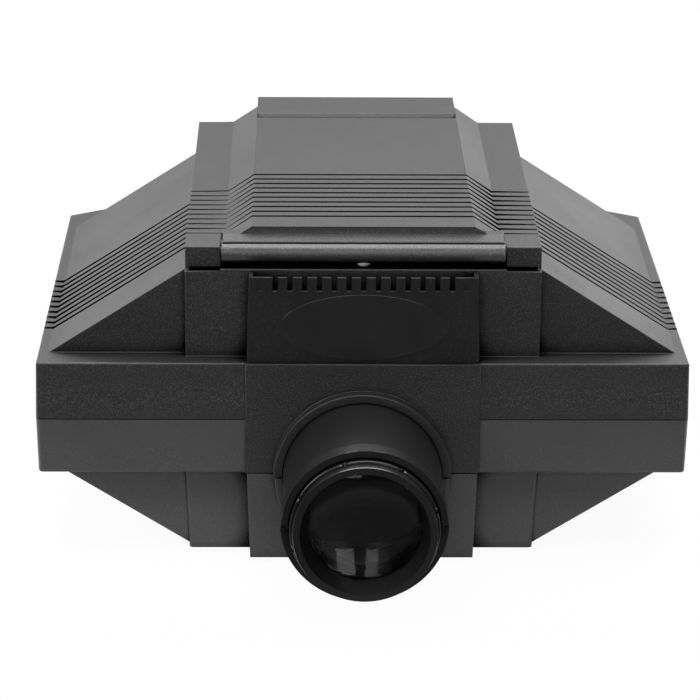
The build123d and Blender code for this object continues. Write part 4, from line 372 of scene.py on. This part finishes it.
# Black cloth over foam: crossed threads, each a row of small swellings, with sheen along the fibres
def clothFinish():
    material, tree, shader = newMaterial("padCloth")
    cloth = clothSettings
    place = objectPlace(tree)
    axes = axisParts(tree, place)
    along, across = (
        mathNode(tree, "SINE", mathNode(tree, "MULTIPLY", axes[axis], cloth["threads"]), 0.0)
        for axis in ("X", "Y"))
    weave = mathNode(tree, "MULTIPLY", along, across)
    fuzz = noiseNode(tree, place, cloth["fuzz"], cloth["fuzzDetail"], cloth["fuzzRough"])
    height = mathNode(tree, "ADD", mathNode(tree, "MULTIPLY", weave, cloth["weaveHeight"]), fuzz)
    share = rampNode(tree, height, cloth["lightFrom"], cloth["lightTo"], 0.0, 1.0)
    colour = mixColours(tree, share, cloth["colour"], cloth["light"])
    tree.links.new(colour, shader.inputs["Base Color"])
    rough = rampNode(tree, fuzz, cloth["fuzzFrom"], cloth["fuzzTo"], cloth["smooth"], cloth["rough"])
    tree.links.new(rough, shader.inputs["Roughness"])
    tree.links.new(bumpNode(tree, height, cloth["depth"]), shader.inputs["Normal"])
    shader.inputs["Sheen Weight"].default_value = cloth["sheen"]
    return material


materials["padCloth"] = clothFinish()
print("materials made:", len(materials))


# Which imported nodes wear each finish; a piece that replaces a node takes over its finish
finishNodes = {
    "housing": ["upper_housing", "lid_shell"],
    "lower": ["lower_housing"],
    "ventFace": ["vent_panel"],
    "bar": ["hinge_barrel"],
    "tube": ["lens_tube_upper", "lens_tube_lower"],
    "barrel": ["focus_barrel", "barrel_retainer", "lens_cell", "front_spacer", "rear_spacer", "lock_ring"],
    "plate": ["name_plate"],
    "lensGlass": ["front_element"],
    "innerGlass": ["middle_element", "rear_element"],
    "windowGlass": ["copy_glass"],
    "mirror": ["image_mirror"],
    "blackSheet": ["mirror_bracket", "light_baffle", "lid_liner"],
    "springSteel": ["mirror_clips", "glass_clips"],
    "steel": ["clip_screws", "foot_screws", "board_screws", "light_screws", "tube_screws", "guide_screw"],
    # The hinge pins wear the dark screw finish as painted shade, so the gaps at the hinge bar's ends show black
    "blackScrew": ["housing_screws", "fan_screws", "liner_screws", "hinge_pins"],
    "screwHead": ["hinge_screw"],
    "rubber": ["feet"],
    "padCloth": ["pressure_pad"],
    "aluminium": ["heat_sink_left", "heat_sink_right"],
    "lightBoard": ["light_board_left", "light_board_right"],
    "ledYellow": ["led_chips"],
    "diffuser": ["diffuser_left", "diffuser_right"],
    "fan": ["fan_frame_left", "fan_frame_right", "fan_rotor_left", "fan_rotor_right"],
    "grille": ["rear_grille_left", "rear_grille_right"],
    "board": ["driver_board"],
    "transformer": ["transformer"],
    "capacitor": ["capacitors"],
    "fitting": ["power_inlet", "switch_body"],
    "contact": ["inlet_pins"],
    "rocker": ["switch_rocker"],
    "wire": ["light_wires", "power_wires"],
}
nodeFinish = {nodeName: finish for finish, group in finishNodes.items() for nodeName in group}
for nodeName, finish in nodeFinish.items():
    slots = nodes[nodeName].data.materials
    slots.clear()
    slots.append(materials[finish])
print("finishes on nodes:", len(nodeFinish))


def placePiece(piece, nodeName):
    bpy.context.scene.collection.objects.link(piece)
    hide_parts(nodeName)
    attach(piece, bodyOf[nodeName])


# How a solid's edges are chosen and rounded: merge is a distance, flat, angle and sharp are degrees, room is
# how many roundings wide a face and how long an edge has to be, and pull is how far broad faces set the shading
edgeSettings = {
    "merge": 2e-6, "flat": 0.2, "angle": 25.0, "sharp": 18.0, "room": 2.2, "segments": 2, "pull": 100,
}


# Hard pieces: a copy of the solid with its flats joined and its longer edges rounded
def roundedCopy(pieceName, settings):
    nodeName = settings["node"]
    mesh = bpy.data.meshes.new(pieceName)
    form = bmesh.new()
    form.from_mesh(nodes[nodeName].data)
    bmesh.ops.remove_doubles(form, verts=form.verts, dist=edgeSettings["merge"])
    bmesh.ops.dissolve_limit(form, angle_limit=math.radians(edgeSettings["flat"]),
                             verts=form.verts, edges=form.edges)
    weight = form.edges.layers.float.new("bevel_weight_edge")
    least = math.radians(edgeSettings["angle"])
    room = edgeSettings["room"] * settings["round"]
    shortest = {corner: min(edge.calc_length() for edge in corner.link_edges) for corner in form.verts}
    width = {face: 2 * face.calc_area() / face.calc_perimeter() for face in form.faces}
    for edge in form.edges:
        long = min(shortest[corner] for corner in edge.verts) > room
        broad = all(width[face] > room for face in edge.link_faces)
        if edge.calc_face_angle(0.0) > least and long and broad:
            edge[weight] = 1.0
    form.to_mesh(mesh)
    form.free()
    mesh.materials.clear()
    mesh.materials.append(materials[nodeFinish[nodeName]])
    mesh.shade_smooth()
    mesh.set_sharp_from_angle(angle=math.radians(edgeSettings["sharp"]))
    piece = bpy.data.objects.new(pieceName, mesh)
    bevel = piece.modifiers.new("edges", "BEVEL")
    bevel.width = settings["round"]
    bevel.segments = settings.get("segments", edgeSettings["segments"])
    bevel.limit_method = "WEIGHT"
    bevel.use_clamp_overlap = False
    bevel.miter_outer = "MITER_ARC"
    flats = piece.modifiers.new("flats", "WEIGHTED_NORMAL")
    flats.mode = "FACE_AREA"
    flats.weight = edgeSettings["pull"]
    flats.keep_sharp = True
    placePiece(piece, nodeName)
    return piece


roundedPieces = {
    "upperShell": {"node": "upper_housing", "round": 0.0005},
    "lowerShell": {"node": "lower_housing", "round": 0.0005},
    "lidCover": {"node": "lid_shell", "round": 0.0005},
    "frontVent": {"node": "vent_panel", "round": 0.0003},
    "hingeBar": {"node": "hinge_barrel", "round": 0.0004},
    "hingeScrewHead": {"node": "hinge_screw", "round": 0.0002},
    "nameOval": {"node": "name_plate", "round": 0.0002},
    "tubeBrow": {"node": "lens_tube_upper", "round": 0.0007, "segments": 3},
    "tubeUnder": {"node": "lens_tube_lower", "round": 0.0007, "segments": 3},
    "focusSleeve": {"node": "focus_barrel", "round": 0.0006, "segments": 3},
    "cellBody": {"node": "lens_cell", "round": 0.0002},
    "guideScrewHead": {"node": "guide_screw", "round": 0.0002},
    "fanGrilleLeft": {"node": "rear_grille_left", "round": 0.0003},
    "fanGrilleRight": {"node": "rear_grille_right", "round": 0.0003},
    "powerSocket": {"node": "power_inlet", "round": 0.0004},
    "switchFrame": {"node": "switch_body", "round": 0.0003},
    "switchKey": {"node": "switch_rocker", "round": 0.0003},
    "footPads": {"node": "feet", "round": 0.0003},
    "linerPanel": {"node": "lid_liner", "round": 0.0003},
}
for pieceName, settings in roundedPieces.items():
    piece = roundedCopy(pieceName, settings)
    print("rounded", pieceName, len(piece.data.polygons), "faces")

surfaceSettings = {"sharp": 40.0}


# A closed surface from rings of points: ring k, point n. It either has a pole at each end or joins its
# last ring to its first. The signed volume says whether the faces point outwards.
def ringMesh(name, rings, poles):
    count, around = rings.shape[:2]
    k = np.arange(count - 1 if poles else count)[:, None]
    n = np.arange(around)[None, :]
    nextK = (k + 1) % count
    nextN = (n + 1) % around
    corners = (k * around + n, k * around + nextN, nextK * around + nextN, nextK * around + n)
    quads = np.stack(corners, -1).reshape(-1, 4)
    points = rings.reshape(-1, 3)
    faces = quads.tolist()
    if poles:
        first, last = len(points), len(points) + 1
        points = np.vstack([points, rings[0].mean(0), rings[-1].mean(0)])
        side = np.arange(around)
        other = (side + 1) % around
        base = (count - 1) * around
        faces += np.stack([np.full(around, first), other, side], -1).tolist()
        faces += np.stack([base + side, base + other, np.full(around, last)], -1).tolist()
    a, b, c, d = (points[quads[:, i]] for i in range(4))
    volume = (np.einsum("ij,ij->i", a, np.cross(b, c)) + np.einsum("ij,ij->i", a, np.cross(c, d))).sum()
    if volume < 0:
        faces = [face[::-1] for face in faces]
    mesh = bpy.data.meshes.new(name)
    mesh.from_pydata(points.tolist(), [], faces)
    mesh.shade_smooth()
    mesh.set_sharp_from_angle(angle=math.radians(surfaceSettings["sharp"]))
    return mesh


# Surface of revolution about the lens axis: point (y, r) of the profile turns to
# (r cos a, y, axis + r sin a)
def revolve(profile, around):
    angle = np.linspace(0.0, 2 * np.pi, around, endpoint=False)
    y, radius = profile[:, 0][:, None], profile[:, 1][:, None]
    return np.stack([radius * np.cos(angle), y + 0 * angle, lensAxis + radius * np.sin(angle)], -1)


lensAxis = sum(corner[2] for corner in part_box("lock_ring")) / 2

# Glass elements: two spherical faces, each with a flat rim, and a cylindrical edge. Edge is the thickness at
# the rim, and front and rear are how far the middle of each face stands off its rim along Y.
elementPieces = {
    "frontGlass": {"node": "front_element", "edge": 0.003, "front": -0.0045, "rear": 0.0045},
    "middleGlass": {"node": "middle_element", "edge": 0.008, "front": 0.0026, "rear": -0.0026},
    "rearGlass": {"node": "rear_element", "edge": 0.003, "front": -0.0036, "rear": 0.0036},
}
elementSettings = {"rim": 0.0018, "chamfer": 0.0003, "centre": 0.02, "steps": 28, "around": 144}


# The face's height at radius r is sqrt(R^2 - r^2) - (R - rise), for a sphere of radius R through its rim
def faceProfile(rimY, rise, radius):
    r = np.linspace(elementSettings["centre"] * radius, radius, elementSettings["steps"])
    sphere = (radius ** 2 + rise ** 2) / (2 * abs(rise))
    height = np.sqrt(sphere ** 2 - r ** 2) - (sphere - abs(rise))
    return np.stack([rimY + math.copysign(1.0, rise) * height, r], -1)


for pieceName, settings in elementPieces.items():
    low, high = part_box(settings["node"])
    outer = (high[0] - low[0]) / 2
    middle = (low[1] + high[1]) / 2
    front, rear = middle - settings["edge"] / 2, middle + settings["edge"] / 2
    chamfer = elementSettings["chamfer"]
    opening = outer - elementSettings["rim"]
    profile = np.vstack([
        faceProfile(front, settings["front"], opening),
        [[front, outer - chamfer], [front + chamfer, outer]],
        [[rear - chamfer, outer], [rear, outer - chamfer]],
        faceProfile(rear, settings["rear"], opening)[::-1],
    ])
    mesh = ringMesh(pieceName, revolve(profile, elementSettings["around"]), poles=True)
    mesh.materials.append(materials[nodeFinish[settings["node"]]])
    piece = bpy.data.objects.new(pieceName, mesh)
    placePiece(piece, settings["node"])
print("glass elements:", len(elementPieces))

# Rings behind the elements: a profile with its corners rounded, turned about the lens axis
ringPieces = {
    "lockingRing": {"node": "lock_ring", "bore": 0.0411, "round": 0.0004, "steps": 5, "around": 144},
    "retainingRing": {"node": "barrel_retainer", "bore": 0.044, "round": 0.0004, "steps": 5, "around": 144},
}


# A corner C becomes the curve (1-t)^2 A + 2t(1-t) C + t^2 B between the points A and B near it on its
# two sides
def roundCorners(corners, radius, steps):
    before, after = np.roll(corners, 1, 0), np.roll(corners, -1, 0)
    towards = lambda other: (other - corners) / np.linalg.norm(other - corners, axis=1, keepdims=True)
    a, b = corners + radius * towards(before), corners + radius * towards(after)
    t = np.linspace(0.0, 1.0, steps)[None, :, None]
    curve = (1 - t) ** 2 * a[:, None] + 2 * t * (1 - t) * corners[:, None] + t ** 2 * b[:, None]
    return curve.reshape(-1, 2)


for pieceName, settings in ringPieces.items():
    low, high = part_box(settings["node"])
    outer = (high[0] - low[0]) / 2
    bore = settings["bore"]
    corners = np.array([[low[1], bore], [low[1], outer], [high[1], outer], [high[1], bore]])
    profile = roundCorners(corners, settings["round"], settings["steps"])
    mesh = ringMesh(pieceName, revolve(profile, settings["around"]), poles=False)
    mesh.materials.append(materials[nodeFinish[settings["node"]]])
    piece = bpy.data.objects.new(pieceName, mesh)
    placePiece(piece, settings["node"])
print("lens rings:", len(ringPieces))

padSettings = {
    "power": 9.0, "drawIn": 0.012, "around": 240,
    "crown": 0.0016, "crownPower": 4, "centre": 0.02,
    "flatTo": 0.9, "flatRings": 24, "edgeFrom": 0.92, "edgeRings": 8,
    "side": 0.0022, "sidePull": 0.6, "sideRings": 12, "fill": 0.9,
}


# Foam pad under the lid, in black cloth. Its outline is the rounded square |x|^p + |y|^p = 1, drawn in a
# little between the corners, and each ring of it stands at a height that crowns the lower face and rounds
# the sides.
def foamPad():
    pad = padSettings
    low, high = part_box("pressure_pad")
    centre = [(a + b) / 2 for a, b in zip(low, high)]
    half = (high[0] - low[0]) / 2
    angle = np.linspace(0.0, 2 * np.pi, pad["around"], endpoint=False)
    c, s = np.cos(angle), np.sin(angle)
    reach = (np.abs(c) ** pad["power"] + np.abs(s) ** pad["power"]) ** (-1 / pad["power"])
    reach = reach * (1 - pad["drawIn"] * np.cos(2 * angle) ** 2)
    share = np.concatenate([np.linspace(pad["centre"], pad["flatTo"], pad["flatRings"]),
                            np.linspace(pad["edgeFrom"], 1.0, pad["edgeRings"])])
    under = low[2] + pad["crown"] * share ** pad["crownPower"]
    turn = np.linspace(0.0, np.pi, pad["sideRings"])[1:-1]
    thick = high[2] - low[2] - pad["crown"]
    sideShare = 1 + (pad["side"] / half) * (np.sin(turn) - 1) * pad["sidePull"]
    sideHeight = high[2] - thick * (1 + np.cos(turn)) / 2
    rings = np.concatenate([share * sideShare[0], sideShare, share[::-1] * sideShare[-1]])
    heights = np.concatenate([under, sideHeight, np.full(len(share), high[2])])
    x = centre[0] + half * rings[:, None] * reach * c
    y = centre[1] + half * rings[:, None] * reach * s
    points = np.stack([x, y, heights[:, None] + 0 * x], -1)
    mesh = ringMesh("foamPad", points, poles=True)
    mesh.materials.append(materials["padCloth"])
    piece = bpy.data.objects.new("foamPad", mesh)
    placePiece(piece, "pressure_pad")


foamPad()
print("foam pad made")


# Floor, backdrop and light. The floor is pale under and behind the object and dims towards the front, and
# it looks white to the camera throughout, with the object's shadow on it.
stageSettings = {
    "size": 6.0, "pale": (0.9, 0.9, 0.9), "dim": (0.05, 0.05, 0.05), "dimFrom": -0.35, "paleFrom": -0.1,
    "glow": 0.95, "rough": 0.9,
}


def makeStage():
    size = stageSettings["size"]
    mesh = bpy.data.meshes.new("floor")
    corners = [(-size, -size, 0), (size, -size, 0), (size, size, 0), (-size, size, 0)]
    mesh.from_pydata(corners, [], [(0, 1, 2, 3)])
    floor = bpy.data.objects.new("floor", mesh)
    bpy.context.scene.collection.objects.link(floor)
    material, tree, shader = newMaterial("floorPale")
    depth = axisParts(tree, objectPlace(tree))["Y"]
    dimFrom, paleFrom = stageSettings["dimFrom"], stageSettings["paleFrom"]
    near = rampNode(tree, depth, dimFrom, paleFrom, 0.0, 1.0)
    shade = mixColours(tree, near, stageSettings["dim"], stageSettings["pale"])
    tree.links.new(shade, shader.inputs["Base Color"])
    shader.inputs["Roughness"].default_value = stageSettings["rough"]
    glow = tree.nodes.new("ShaderNodeEmission")
    camera = tree.nodes.new("ShaderNodeLightPath").outputs["Is Camera Ray"]
    white = rampNode(tree, depth, dimFrom, paleFrom, 1.0, stageSettings["glow"])
    mix = tree.nodes.new("ShaderNodeMixShader")
    tree.links.new(mathNode(tree, "MULTIPLY", camera, white), mix.inputs["Fac"])
    tree.links.new(shader.outputs[0], mix.inputs[1])
    tree.links.new(glow.outputs[0], mix.inputs[2])
    tree.links.new(mix.outputs[0], tree.nodes["Material Output"].inputs["Surface"])
    mesh.materials.append(material)


worldSettings = {"plain": 0.16, "frontGloss": 0.06, "backGloss": 0.93, "frontTo": -0.2, "backFrom": 0.4}


# White to the camera and to glass and gloss at the back; the room in front is dimmer
def makeWorld():
    world = bpy.data.worlds.new("studio")
    bpy.context.scene.world = world
    world.use_nodes = True
    tree = world.node_tree
    tree.nodes.clear()
    out = tree.nodes.new("ShaderNodeOutputWorld")
    depth = axisParts(tree, tree.nodes.new("ShaderNodeTexCoord").outputs["Generated"])["Y"]
    back = rampNode(tree, depth, worldSettings["frontTo"], worldSettings["backFrom"],
                    worldSettings["frontGloss"], worldSettings["backGloss"])
    paths = tree.nodes.new("ShaderNodeLightPath").outputs
    other = mathNode(tree, "MAXIMUM", paths["Is Glossy Ray"], paths["Is Transmission Ray"])
    plain = tree.nodes.new("ShaderNodeBackground")
    plain.inputs["Strength"].default_value = worldSettings["plain"]
    white = tree.nodes.new("ShaderNodeBackground")
    white.inputs["Color"].default_value = (1.0, 1.0, 1.0, 1.0)
    white.inputs["Strength"].default_value = 1.0
    gloss = tree.nodes.new("ShaderNodeBackground")
    tree.links.new(back, gloss.inputs["Strength"])
    shown = plain.outputs[0]
    for share, layer in ((other, gloss), (paths["Is Camera Ray"], white)):
        mix = tree.nodes.new("ShaderNodeMixShader")
        tree.links.new(share, mix.inputs["Fac"])
        tree.links.new(shown, mix.inputs[1])
        tree.links.new(layer.outputs[0], mix.inputs[2])
        shown = mix.outputs[0]
    tree.links.new(shown, out.inputs["Surface"])


# Area lamps: where each stands and points, its width and height in metres, and its watts
lampSettings = {
    "overhead": {"place": (0.0, 0.7, 2.2), "aim": (0.0, 0.05, 0.2), "size": (2.0, 2.0), "power": 80.0},
    "frontStrip": {"place": (0.0, -1.0, 2.1), "aim": (0.0, -0.1, 0.15), "size": (2.4, 1.0), "power": 37.0},
    "leftSoft": {"place": (-2.2, -1.0, 1.4), "aim": (0.0, -0.1, 0.1), "size": (1.2, 1.2), "power": 34.0},
    "rearRight": {"place": (1.5, 2.6, 1.0), "aim": (0.0, 0.0, 0.2), "size": (1.8, 1.8), "power": 14.0},
    "rearLeft": {"place": (-1.5, 2.6, 1.1), "aim": (0.0, 0.0, 0.2), "size": (1.6, 1.6), "power": 9.0},
    "frontFill": {"place": (0.0, -3.2, 1.2), "aim": (0.0, 0.0, 0.1), "size": (2.4, 1.2), "power": 1.5},
    "rightGlint": {"place": (0.85, -2.8, 0.8), "aim": (0.0, -0.2, 0.1), "size": (0.8, 1.5), "power": 11.0},
    "middleGlint": {"place": (-0.25, -2.8, 0.8), "aim": (0.0, -0.2, 0.1), "size": (0.5, 1.5), "power": 5.0},
}


def makeLamps():
    for name, settings in lampSettings.items():
        data = bpy.data.lights.new(name, "AREA")
        data.shape = "RECTANGLE"
        data.size, data.size_y = settings["size"]
        data.energy = settings["power"]
        lamp = bpy.data.objects.new(name, data)
        bpy.context.scene.collection.objects.link(lamp)
        lamp.location = settings["place"]
        aim = Vector(settings["aim"]) - Vector(settings["place"])
        lamp.rotation_euler = aim.to_track_quat("-Z", "Y").to_euler()


makeStage()
makeWorld()
makeLamps()
bpy.context.scene.view_settings.view_transform = "Standard"
print("stage and lamps set")
